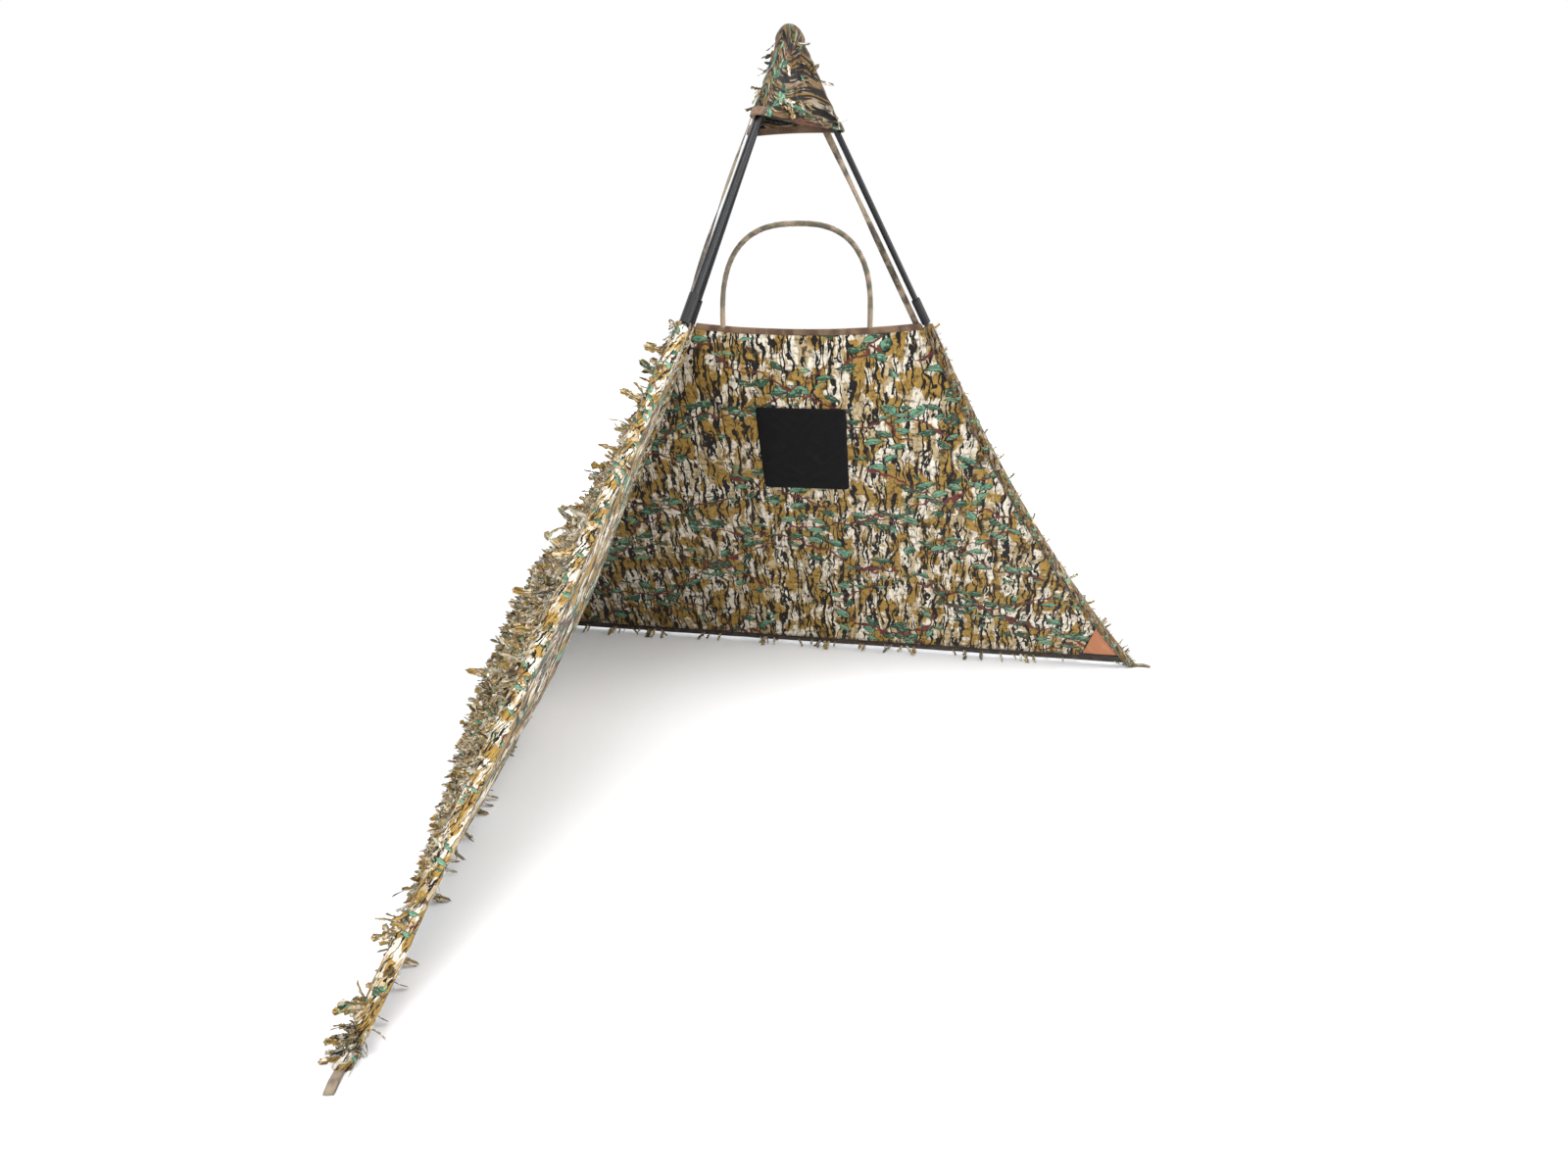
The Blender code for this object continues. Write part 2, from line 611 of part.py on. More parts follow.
def make_wall(side):
    """Lining, leaf layer, bound hems and corner pocket between the corner pole and one front pole."""

    def lining(across, up):
        return wall_point(side, across, LINING_LOW_Z + (LINING_HIGH_Z - LINING_LOW_Z) * up)

    def leaves(across, up):
        height = HEM_CLEAR + (WALL_TOP_Z - TOP_HEM / 2 - HEM_CLEAR) * up
        puff = LEAF_PUFF * math.sin(math.pi * across) * 4 * up * (1 - up)
        return wall_point(side, across, height, LEAF_REACH, LEAF_LIFT + puff, BILLOW)

    def top_hem(across, up):
        height = WALL_TOP_Z - TOP_HEM * (1 - up)
        return wall_point(side, across, height)

    def bottom_hem(across, up):
        return wall_point(side, across, HEM_CLEAR + BOTTOM_HEM * up)

    sheet(f"{side}_lining", LINING_GRID, lining, CLOTH, LINING)
    sheet(f"{side}_leaf_layer", LEAF_GRID, leaves, CLOTH, LEAF_CLOTH)
    sheet(f"{side}_top_hem", (STRIP_STEPS, 1), top_hem, HEM_THICK, BINDING)
    sheet(f"{side}_bottom_hem", (STRIP_STEPS, 1), bottom_hem, HEM_THICK, BINDING)
    make_corner_pocket(side)


def make_corner_pocket(side):
    """Three-cornered patch on the inner face where the front sleeve meets the bottom hem."""
    start, end = wall_row(side, LINING_LOW_Z, WALL_REACH)
    share = POCKET_WIDTH / (end - start).length
    bow_rise = POCKET_HEIGHT**2 / (8 * BEND_R[side])
    bag_rise = -SLACK[side] * bulge(1 - share / 2, wall_share(LINING_LOW_Z + POCKET_HEIGHT / 2))
    inset = wall_outward(side) * (CLOTH / 2 + GAP + bow_rise + max(bag_rise, 0) + CLOTH / 2)
    corners = [
        wall_point(side, 1 - share, LINING_LOW_Z) - inset,
        wall_point(side, 1, LINING_LOW_Z) - inset,
        wall_point(side, 1, LINING_LOW_Z + POCKET_HEIGHT) - inset,
    ]
    bm = bmesh.new()
    bmesh.ops.contextual_create(bm, geom=[bm.verts.new(corner) for corner in corners])
    made = add_mesh(f"{side}_corner_pocket", bm, POCKET)
    skin = made.modifiers.new("cloth", "SOLIDIFY")
    skin.thickness = CLOTH
    skin.offset = 0


def make_patch():
    """Plain square label cloth on the right wall's inner face."""
    inset = wall_outward("right") * (CLOTH / 2 + GAP + CLOTH / 2)
    slant = (wall_point("right", 0.5, LINING_HIGH_Z) - wall_point("right", 0.5, LINING_LOW_Z)).length
    rise = (LINING_HIGH_Z - LINING_LOW_Z) / slant

    def place(across, up):
        height = WALL_TOP_Z - (PATCH_DROP + PATCH_HEIGHT * (1 - up)) * rise
        start, end = wall_row("right", height, WALL_REACH)
        sideways = PATCH_WIDTH * (across - 0.5) - CENTRE_SHIFT
        return wall_point("right", 0.5 + sideways / (end - start).length, height) - inset

    sheet("label_patch", PATCH_GRID, place, CLOTH, PATCH)


def make_hoop():
    """Stiff covered arch standing on the right wall's top hem."""
    start, end = wall_row("right", WALL_TOP_Z, WALL_REACH)
    along = (end - start).normalized()
    length = (end - start).length
    seat = GAP + HOOP_D / 2 * 4 * TOP_SAG / length + HEM_THICK / 2 * abs(wall_outward("right").z)
    ends = []
    for share in (-0.5, 0.5):
        sideways = length / 2 - CENTRE_SHIFT + share * HOOP_WIDTH
        ends.append(start + along * sideways + UP * (seat - top_sag(sideways / length)))
    points = [ends[0]]
    for k in range(HOOP_STEPS + 1):
        turn = math.pi * (1 - k / HOOP_STEPS)
        across = math.copysign(abs(math.cos(turn)) ** (2 / HOOP_SQUARENESS), math.cos(turn))
        climb = (HOOP_HEIGHT - HOOP_LEG) * abs(math.sin(turn)) ** (2 / HOOP_SQUARENESS)
        points.append(ends[0].lerp(ends[1], (1 + across) / 2) + UP * (HOOP_LEG + climb))
    rod("carry_hoop", [*points, ends[1]], HOOP_D, COVERED_ROD)


def add_pivot(side):
    pivot = bpy.data.objects.new(f"{side}_leg_pivot", None)
    PARTS.objects.link(pivot)
    pivot.location = pole_point(side, PIVOT_RUN)
    return pivot


clear_scene()
PARTS = collection("ground_blind")
CUTTERS = collection("cutters")
SMOOTH_ANGLE = math.radians(40)
PLAN_CENTRE = plan_centre()
GRAPHITE = finish("graphite_pole", (0.030, 0.031, 0.034), 0.35)
MOULDING = finish("black_moulding", (0.022, 0.022, 0.023), 0.5)
STEEL = finish("pin_steel", (0.45, 0.45, 0.46), 0.35, 1.0)
RUBBER = finish("foot_rubber", (0.025, 0.025, 0.025), 0.8)
LINING = finish("printed_lining", (0.42, 0.35, 0.20), 0.85)
LEAF_CLOTH = finish("leaf_cut_cloth", (0.33, 0.29, 0.15), 0.9)
BINDING = finish("brown_binding", (0.11, 0.075, 0.05), 0.85)
WEBBING_TAN = finish("camouflage_webbing", (0.30, 0.23, 0.15), 0.85)
POCKET = finish("tan_pocket", (0.45, 0.20, 0.09), 0.8)
PATCH = finish("black_patch", (0.012, 0.012, 0.013), 0.7)
COVERED_ROD = finish("covered_rod", (0.24, 0.19, 0.12), 0.85)

make_hub()
for side_name in SIDES:
    make_pin(side_name)
    make_wall(side_name)
for leg_name in LEGS:
    hinge = add_pivot(leg_name) if leg_name in SIDES else None
    if hinge:
        make_knuckle(leg_name, hinge)
    make_pole(leg_name, hinge)
    make_foot(leg_name, hinge)
    make_sleeve(leg_name, hinge)
    make_strap(leg_name, hinge)
    make_stake_loop(leg_name, hinge)
make_hood()
make_patch()
make_hoop()
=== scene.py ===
"""Dressed ground blind: printed and leaf-cut cloth walls on three poles, with its studio."""

import math

import bmesh
import bpy
import numpy as np
from mathutils import Matrix, Vector, noise


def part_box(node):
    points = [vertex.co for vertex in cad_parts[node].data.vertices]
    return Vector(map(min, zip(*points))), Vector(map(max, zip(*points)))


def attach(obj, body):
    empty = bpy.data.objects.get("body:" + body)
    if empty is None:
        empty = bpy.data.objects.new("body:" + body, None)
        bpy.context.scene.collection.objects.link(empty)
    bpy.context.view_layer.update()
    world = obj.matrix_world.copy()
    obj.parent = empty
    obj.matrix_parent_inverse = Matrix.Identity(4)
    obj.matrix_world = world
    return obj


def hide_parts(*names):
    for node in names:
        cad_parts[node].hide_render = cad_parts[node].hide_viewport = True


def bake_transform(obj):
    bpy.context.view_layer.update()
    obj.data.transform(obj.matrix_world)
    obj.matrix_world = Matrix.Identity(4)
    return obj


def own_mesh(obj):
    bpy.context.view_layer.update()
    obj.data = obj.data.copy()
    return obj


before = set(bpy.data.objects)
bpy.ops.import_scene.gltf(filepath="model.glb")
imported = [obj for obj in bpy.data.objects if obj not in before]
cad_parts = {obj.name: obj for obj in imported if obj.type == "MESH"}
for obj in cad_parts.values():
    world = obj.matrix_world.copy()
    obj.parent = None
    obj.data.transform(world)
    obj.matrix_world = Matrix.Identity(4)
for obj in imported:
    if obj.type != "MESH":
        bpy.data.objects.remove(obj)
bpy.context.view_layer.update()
SEED = 41
RNG = np.random.default_rng(SEED)

# Stance, as in the part
APEX_Z = 1.524
WALL_TOP_Z = 0.983
WALL_TOP_R = 0.350
FOOT_R = 1.147
FRONT_TURN = math.radians(105.5)
BOW = {"left": 0.15, "right": 1.2, "corner": 1.0}
POLE_R = 0.00635
SLEEVE_R = 0.01195
GAP = 0.0003

# Walls, as in the part
TOP_HEM = 0.014
BOTTOM_HEM = 0.019
HEM_CLEAR = 0.012
TOP_SAG = 0.014
SLACK = {"left": -0.033, "right": 0.045}
BILLOW = {"left": 0.072, "right": 0.045}
BILLOW_PEAK = 0.28
LEAF_LIFT = 0.007
LEAF_PUFF = 0.016
LINING_LOW_Z = 0.0323
LINING_HIGH_Z = 0.9687
WALL_REACH = SLEEVE_R + GAP
CENTRE_SHIFT = 0.025  # how far the patch and the hoop stand from the right wall's middle

# Thickness of the cloths, the webbing's width, and how low cloth may lie
LINING_THICK = 0.0007
LEAF_THICK = 0.0008
HOOD_THICK = 0.0012
HOOD_EDGE_THICK = 0.0022
POCKET_THICK = 0.0012
PATCH_THICK = 0.0011
WEBBING_THICK = 0.0014
TOP_HEM_HALF = 0.0022
BOTTOM_HEM_HALF = 0.0024
WEBBING_WIDTH = 0.014
FLOOR_CLEAR = 0.001
STRAP_LEAN = {"right": 0.9}  # how far a strap is turned on edge, in radians

# Print and leaf-cut flaps of the walls
LINING_DRAWN = {"left": 0.42, "right": 1.0}  # how wide the print is drawn out
FLAP_ROWS = 90
FLAPS_PER_ROW = 146
SPRIG_SHARE = 0.016  # share of the wall's flaps that are long sprigs
FLAP_MARGIN = 0.012  # bare cloth beside a sleeve
FLAP_PRINT = 2.5  # how much finer the print is on the flaps
FLAP_TOP = 0.985  # share of the way up where the flaps end
FULLNESS_Z = (0.0, 0.15, 0.30, 0.45, 0.62, 1.0)
FRONT_FULLNESS = (0.4, 0.6, 0.85, 0.9, 0.5, 0.4)  # of the flaps near the front pole, at those heights
FRINGE_COUNT = 90

# Sleeves: slackness, the nap's turn towards the inner face, where low sprigs start, and the flaps' length
SLEEVE_SLACK = {"left": 1.0, "right": 0.3, "corner": 0.6}
NAP_INNER_TURN = {"left": -0.8, "right": -0.4, "corner": -1.7}
LOW_SPRIGS_FROM = {"left": 0.62, "right": 0.75, "corner": 0.85}
SLEEVE_FLAP_LENGTH = {"left": 1.0, "right": 0.55, "corner": 0.7}
NAP_COUNT = 210
CUFF_COUNT = 60
HIGH_SPRIGS = 13
LOW_SPRIGS = 24
LOW_BUNCHES = (0.05, 0.42, 0.66, 0.92)  # shares of the sleeve's low stretch where sprigs bunch
INNER_TWIGS = np.array((0.73, 0.81, 0.905, 0.945))  # shares of the way down the left sleeve
SLEEVE_FOOT_Z = -0.010
SLEEVE_TOP_GAP = 0.002

# Hood, with the part's heights
HOOD_LOW_Z = 1.369
HOOD_SHOULDER_Z = 1.505
HOOD_TOP_Z = 1.5346
HOOD_HEM = 0.012
FOLD_Z = 1.470  # height of the hinge pins
FOLD_REACH = 0.045  # depth below the pins in which the cloth comes to follow a pole
HOOD_LOW_ROUND = 0.0135  # the slack cloth hangs a little inside the part's
HOOD_HIGH_ROUND = 0.0170
HEM_LAP = 0.003  # how far the binding laps over the hood's cloth
POLE_BEND = 0.55  # share of each third of the way round in which the hood bends round a pole
FRONT_START = 2 / 3 + POLE_BEND / 3  # share of the way round where the hood's open front starts
HOOD_HALVES = {"left": (0.425, 0.925), "right": (0.925, 1.425)}  # from seam to seam, by the way round
CROWN_R = 0.0262  # clears the cap under the hood
CROWN_LOW_Z = 1.45
CROWN_RISE = 0.03
TAIL_SPOTS = np.array(  # shares of the way round and up where leaf tails stand off the hood
    (
        (0.57, 0.86), (0.60, 0.62), (0.64, 0.58), (0.68, 0.30), (0.98, 0.62),
        (0.01, 0.02), (0.25, 0.40), (0.40, 0.70), (0.46, 0.25),
    )
)

# Camera and light of the photograph's view
SENSOR_MM = 36
FOCAL_MM = 20.16
CAMERA_OFF_MIDDLE = (-1.2954, -1.4383, 0.9906)
CAMERA_TILT = math.radians(73)
CAMERA_TURN = math.radians(-41.7)
LAMP_AIM = (0, -0.3, 0.5)
LAMPS = (  # name, place, size in metres and power in watts
    ("top", (0.5, -2.2, 4.3), 3.0, 135),
    ("side", (-3.1, -2.3, 2.7), 2.2, 145),
    ("front", (2.0, -3.0, 1.3), 2.2, 90),
    ("back", (-1.4, 3.8, 3.4), 3.0, 75),
)
SKY_LEVEL = 0.28
FLOOR_SIZE = 14
FLOOR_DROP = 0.0006

# Where the middle axis stands, and the ways the legs go
SIDES = ("left", "right")
LEGS = ("left", "right", "corner")
LEG_BODY = {"left": "left_leg", "right": "right_leg", "corner": "corner_frame"}
UP = np.array((0.0, 0.0, 1.0))
AZIMUTH = {"left": math.pi / 2 + FRONT_TURN, "right": math.pi / 2 - FRONT_TURN, "corner": math.pi / 2}
OUT = {leg: np.array((math.cos(turn), math.sin(turn), 0.0)) for leg, turn in AZIMUTH.items()}
CAP_LOW, CAP_HIGH = (np.array(corner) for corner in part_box("hub_cap"))
MIDDLE = (CAP_LOW + CAP_HIGH) / 2 * (1, 1, 0)
TILT = math.atan2(WALL_TOP_R, APEX_Z - WALL_TOP_Z)
FLARE = math.atan2(FOOT_R - WALL_TOP_R, WALL_TOP_Z) - TILT
LOWER_REACH = math.hypot(FOOT_R - WALL_TOP_R, WALL_TOP_Z)
BEND_R = {leg: LOWER_REACH / (2 * math.sin(FLARE * bow)) for leg, bow in BOW.items()}
START_LEAN = {leg: TILT + FLARE * (1 - bow) for leg, bow in BOW.items()}


def unit(vectors):
    return vectors / np.linalg.norm(vectors, axis=-1, keepdims=True)


def dot(first, second):
    return (first * second).sum(axis=-1, keepdims=True)


def column(values):
    return np.asarray(values, float)[..., None]


def between(first, last, share):
    """Value at a share of the way from first to last."""
    return first + (last - first) * share


def from_ends(share):
    """Share of the way from the nearer end."""
    return np.minimum(share, 1 - share)


def pole_at(leg, height):
    """Points on a pole's axis at some heights, and the ways down the pole there."""
    height = np.asarray(height, float)
    start, bend = START_LEAN[leg], BEND_R[leg]
    lean = np.arcsin(math.sin(start) + np.clip(WALL_TOP_Z - height, 0, None) / bend)
    bowed = WALL_TOP_R + bend * (math.cos(start) - np.cos(lean))
    above = height > WALL_TOP_Z
    reach = np.where(above, (APEX_Z - height) * math.tan(TILT), bowed)
    lean = np.where(above, TILT, lean)
    point = MIDDLE + column(reach) * OUT[leg] + column(height) * UP
    return point, column(np.sin(lean)) * OUT[leg] - column(np.cos(lean)) * UP


def wall_outward(side):
    """Way out of a wall, square to the upper poles at its two edges."""
    ways = [pole_at(leg, APEX_Z)[1] for leg in (side, "corner")]
    axis = unit(np.cross(*ways))
    return axis if dot(axis, OUT[side] + OUT["corner"]) > 0 else -axis


WALL_OUT = {side: wall_outward(side) for side in SIDES}


def wall_row(side, height, reach=WALL_REACH):
    """Ends of level lines across a wall, each that far from its pole's axis."""
    corner, corner_way = pole_at("corner", height)
    front, front_way = pole_at(side, height)
    along = unit(front - corner)
    start = corner + along * reach / np.sqrt(1 - dot(along, corner_way) ** 2)
    end = front - along * reach / np.sqrt(1 - dot(along, front_way) ** 2)
    return start, end


def wall(side, across, height, lift=0.0, slack=SLACK):
    """Points on a wall, by the share of the way from the corner pole to the front pole and by height."""
    across, height = np.broadcast_arrays(np.asarray(across, float), np.asarray(height, float))
    start, end = wall_row(side, height)
    up = np.clip((height - LINING_LOW_Z) / (LINING_HIGH_Z - LINING_LOW_Z), 0, 1)
    shoulder = (1 - BILLOW_PEAK) / BILLOW_PEAK
    hump = up / BILLOW_PEAK * ((1 - up) / (1 - BILLOW_PEAK)) ** shoulder
    stand = slack[side] * hump * np.sin(math.pi * across) + lift
    drop = TOP_SAG * 4 * across * (1 - across) * up**3
    spot = between(start, end, column(across))
    return spot + column(stand) * WALL_OUT[side] - column(drop) * UP


def wall_cloth(side, across, height):
    """Cloth coordinates on a wall, in metres, so a print keeps its scale from hem to hem."""
    start, end = wall_row(side, height)
    width = np.linalg.norm(end - start, axis=-1)
    slant = np.linalg.norm(wall(side, 0.5, LINING_HIGH_Z) - wall(side, 0.5, LINING_LOW_Z))
    rise = slant / (LINING_HIGH_Z - LINING_LOW_Z)
    return np.stack(((np.asarray(across) - 0.5) * width, np.asarray(height) * rise), axis=-1)


def ripple(points, size, seed=0.0):
    """Smooth noise from -1 to 1 at each point, with bumps of that size."""
    return np.array([noise.noise(Vector(point) / size + Vector((seed, -seed, seed / 2))) for point in points])


def linear(code):
    """Colour of a six-digit code, as light."""
    parts = [int(code[k : k + 2], 16) / 255 for k in (0, 2, 4)]
    return (*(part / 12.92 if part < 0.04045 else ((part + 0.055) / 1.055) ** 2.4 for part in parts), 1)


class Wire:
    """A node's output that takes part in sums."""

    def __init__(self, paint, socket):
        self.paint, self.socket = paint, socket

    def sum(self, operation, *values):
        return self.paint.node("Math", {"operation": operation}, dict(enumerate(values)))

    def __add__(self, other):
        return self.sum("ADD", self, other)

    __radd__ = __add__

    def __sub__(self, other):
        return self.sum("SUBTRACT", self, other)

    def __rsub__(self, other):
        return self.sum("SUBTRACT", other, self)

    def __mul__(self, other):
        return self.sum("MULTIPLY", self, other)

    __rmul__ = __mul__

    def __abs__(self):
        return self.sum("ABSOLUTE", self)

    def __gt__(self, other):
        return self.sum("GREATER_THAN", self, other)

    def wrap(self):
        return self.sum("FRACT", self)

    def most(self, other):
        return self.sum("MAXIMUM", self, other)


class Paint:
    """A material, and the one way its nodes are added."""

    def __init__(self, name, **constants):
        self.material = bpy.data.materials.new(name)
        self.material.use_nodes = True
        self.tree = self.material.node_tree
        self.shader = self.tree.nodes["Principled BSDF"]
        for socket, value in constants.items():
            self.shader.inputs[socket.replace("_", " ")].default_value = value

    def node(self, kind, settings=None, inputs=None, output=0):
        made = self.tree.nodes.new("ShaderNode" + kind)
        for key, value in (settings or {}).items():
            if key == "stops":
                ramp = made.color_ramp
                while len(ramp.elements) < len(value):
                    ramp.elements.new(0.5)
                for element, (place, colour) in zip(ramp.elements, value):
                    element.position, element.color = place, colour
            elif key == "interpolation":
                made.color_ramp.interpolation = value
            else:
                setattr(made, key, value)
        for key, value in (inputs or {}).items():
            if isinstance(value, Wire):
                self.tree.links.new(value.socket, made.inputs[key])
            else:
                made.inputs[key].default_value = value
        return Wire(self, made.outputs[output])

    def feed(self, **wires):
        for socket, wire in wires.items():
            self.tree.links.new(wire.socket, self.shader.inputs[socket.replace("_", " ")])

    def cloth(self):
        return self.node("UVMap", {"uv_map": "cloth"})

    def object(self):
        return self.node("TexCoord", output="Object")

    def vector(self, operation, first, second):
        return self.node("VectorMath", {"operation": operation}, {0: first, 1: second})

    def scaled(self, at, size):
        """Coordinates in steps of a size given for each axis, in metres."""
        return self.vector("MULTIPLY", at, tuple(1 / step for step in size))

    def noise(self, at, size, detail=2.0, shift=0.0):
        moved = self.vector("ADD", self.scaled(at, size), (shift, shift * 1.7, 0))
        return self.node("TexNoise", {}, {"Vector": moved, "Scale": 1.0, "Detail": detail}, "Fac")

    def ramp(self, value, low, high):
        """Smooth climb from 0 to 1 as a value goes from low to high."""
        inputs = {"Value": value, "From Min": low, "From Max": high}
        return self.node("MapRange", {"interpolation_type": "SMOOTHSTEP"}, inputs)

    def mix(self, share, first, second, blend="MIX"):
        settings = {"data_type": "RGBA", "blend_type": blend, "clamp_factor": True}
        return self.node("Mix", settings, {0: share, 6: first, 7: second}, 2)

    def split(self, vector, axis):
        return self.node("SeparateXYZ", {}, {0: vector}, axis)

    def bump(self, height, strength, distance):
        return self.node("Bump", {}, {"Height": height, "Strength": strength, "Distance": distance})


BONE = linear("F3EBDB")
SAND = linear("C8B48E")
OCHRE = linear("AC8A44")
UMBER = linear("5A4526")
SHADE = linear("5A3F14")
INK = linear("14100E")
LEAF_DARK = linear("172A22")
LEAF_MID = linear("2D5543")
LEAF_PALE = linear("699C81")
TWIG = linear("63332F")
# Colour of the painted shade in the cloth's crease hollows
CREASE_SHADE = linear("3A2E1F")
FLAP_TINTS = (
    (0.0, SAND), (0.15, OCHRE), (0.42, UMBER), (0.6, BONE), (0.74, OCHRE), (0.85, INK), (0.94, LEAF_MID),
)
STROKES = (  # metres from stroke to stroke, shift of the noise, and girth as a share of the step
    (0.026, 1.3, 0.12), (0.033, 7.7, 0.10), (0.019, 15.1, 0.13), (0.015, 29.3, 0.12),
)
BRANCHES = (  # slope, metres from twig to twig, shift of the noise, size of a leaf's cell, and lean
    (0.35, 0.13, 51.0, 0.040, 0.3), (-0.5, 0.17, 87.0, 0.035, -0.4),
)
CLOTH_THREAD = 0.0011
COATED_THREAD = 0.0009
TAPE_RIB = 0.0016
MOULD_SPECK = 0.004


def leaf_motifs(paint, at, cell, shift, lean):
    """One scatter of slim pointed leaves: how much of a leaf is here, its shade, and its dark edge."""
    moved = paint.vector("ADD", paint.scaled(at, (cell * 1.2, cell * 0.8, 1)), (shift, -shift, 0))
    settings = {"voronoi_dimensions": "2D", "feature": "F1"}
    inputs = {"Vector": moved, "Scale": 1.0, "Randomness": 1.0}
    spot = paint.node("TexVoronoi", settings, inputs, "Position")
    chance = paint.node("TexVoronoi", settings, inputs, "Color")
    arm = paint.vector("SUBTRACT", moved, spot)
    first, second, third = (paint.split(chance, axis) for axis in range(3))
    turn = (first - 0.5) * 2.2 + lean
    turned = paint.node("VectorRotate", {"rotation_type": "Z_AXIS"}, {"Vector": arm, "Angle": turn})
    along, over = paint.split(turned, 0), paint.split(turned, 1)
    ragged = (paint.noise(at, (0.006, 0.006, 1), 1.0, shift + 2) - 0.5) * 0.36
    bend = over + along * along * 1.4 * (second - 0.5) + ragged * 0.15
    taper = (1 - along * along * 3.0).most(0.0)
    girth = (0.15 + 0.15 * third) * taper * taper * (1 + along * 0.8)
    inside = girth - abs(bend) + ragged * (0.45 - abs(along))
    body = paint.ramp(inside, 0.0, 0.02)
    edge = 1 - paint.ramp(inside, 0.03, 0.08)
    vein = 1 - paint.ramp(abs(bend), 0.008, 0.03)
    shade = paint.ramp(bend + ragged + 0.6 * (second - 0.5), -0.16, 0.16)
    return body, shade, edge.most(vein * 0.7)


def print_colour(paint, at, leafy, tone_and_shade, bold):
    """Generic woodland print: pale bark in columns, dark broken strokes, twigs and small leaves."""
    sway = paint.noise(at, (0.045, 0.080, 1), 3.0, 3.1)
    flow = paint.vector("ADD", at, paint.node("CombineXYZ", {}, {0: (sway - 0.5) * 0.040}))
    sand = paint.ramp(paint.noise(flow, (0.016, 0.060, 1), 2.5, 11.0), 0.50, 0.54)
    ochre = paint.ramp(paint.noise(flow, (0.032, 0.048, 1), 3.5, 23.0), 0.50, 0.53)
    umber = paint.ramp(paint.noise(flow, (0.020, 0.040, 1), 2.5, 37.0), 0.61, 0.66)
    colour = paint.mix(sand, BONE, SAND)
    colour = paint.mix(ochre, colour, OCHRE)
    colour = paint.mix(umber, colour, UMBER)
    grain = paint.noise(flow, (0.0035, 0.022, 1), 3.0, 5.0)
    colour = paint.mix((grain - 0.36) * 1.3, colour, UMBER)
    # Clouds towards the SHADE colour: partly the cloth's darker tone, partly painted shade.
    if tone_and_shade:
        cloud = paint.noise(at, (0.06, 0.06, 1), 2.0, 70.0)
        colour = paint.mix(paint.ramp(cloud, 0.1, 0.54) * tone_and_shade, colour, SHADE)
    for step, shift, girth in STROKES:
        wobble = paint.noise(at, (0.018, 0.026, 1), 3.0, shift)
        line = paint.split(flow, 0) * (1 / step) + wobble * 1.2 + shift
        off = abs(line.wrap() - 0.5)
        part = paint.ramp(paint.noise(at, (0.014, 0.060, 1), 2.5, shift + 40), 0.42, 0.62)
        colour = paint.mix(1 - paint.ramp(off - part * girth * bold, -0.015, 0.02), colour, INK)
    for slope, step, shift, cell, lean in BRANCHES:
        wander = paint.noise(at, (0.20, 0.30, 1), 2.0, shift)
        path = paint.split(at, 1) * (1 / step) + paint.split(at, 0) * (slope / step) + wander * 1.3
        off = (path.wrap() - 0.5) * step
        clump = paint.noise(at, (0.12, 0.10, 1), 1.0, shift + 12)
        near = paint.ramp(clump, 0.43, 0.46) * leafy
        kink = paint.noise(at, (0.025, 0.025, 1), 1.0, shift + 20) - 0.5
        twig = (1 - paint.ramp(abs(off + kink * 0.035), 0.0016, 0.0032)) * near
        zone = (1 - paint.ramp(abs(off) + kink * 0.03, 0.024, 0.042)) * near
        body, shade, edge = leaf_motifs(paint, at, cell, shift, lean)
        green = paint.mix(shade, LEAF_MID, LEAF_PALE)
        streak = paint.ramp(paint.noise(at, (0.006, 0.004, 1), 1.0, shift + 9), 0.54, 0.7)
        green = paint.mix(streak * 0.6, green, SAND)
        green = paint.mix(edge * 0.95, green, LEAF_DARK)
        colour = paint.mix(body * (zone > 0.5), colour, green)
        colour = paint.mix(twig, colour, TWIG)
    return colour


def weave(paint, at, thread):
    """Height of a plain weave, from 0 to 1."""
    waves = []
    for axis in range(2):
        turns = paint.split(at, axis) * (math.tau / thread)
        waves.append(turns.sum("SINE", turns))
    return waves[0] * waves[1] * 0.5 + 0.5


def printed_cloth(name, leafy=1.0, toned=0.0, pucker=0.5, tone_and_shade=0.0, crease_shading=0.0, coarse=1.0, bold=1.0):
    """Cloth with the woodland print, more or less leafy, tinted by flap, puckered, darkened in clouds (partly
    its tone, partly painted shade) and with painted shade in its creases.
    """
    paint = Paint(name, Sheen_Weight=0.12, Specular_IOR_Level=0.25)
    at = paint.cloth()
    colour = print_colour(paint, paint.scaled(at, (coarse, coarse, 1)), leafy, tone_and_shade, bold)
    if toned:
        tone = paint.node("Attribute", {"attribute_name": "tone"}, {}, "Fac")
        tint = paint.node("ValToRGB", {"stops": FLAP_TINTS, "interpolation": "CONSTANT"}, {0: tone})
        colour = paint.mix(toned, colour, tint)
    crease = paint.noise(at, (0.012, 0.016, 1), 3.0, 80.0)
    # Painted shade: the print darkens towards the crease colour where the crease and pleat noise is low, in
    # the folds' hollows.
    if crease_shading:
        pleat = paint.noise(at, (0.030, 0.010, 1), 3.0, 60.0)
        shaded = paint.ramp(crease + pleat, 1.02, 0.74) * crease_shading
        colour = paint.mix(shaded, colour, CREASE_SHADE, "MULTIPLY")
        crease = crease + pleat * 0.8
    height = crease + weave(paint, at, CLOTH_THREAD) * 0.06
    rough = 0.74 + 0.16 * paint.noise(at, (0.008, 0.008, 1), 2.0, 90.0)
    paint.feed(Base_Color=colour, Roughness=rough, Normal=paint.bump(height, pucker, 0.0028))
    return paint.material


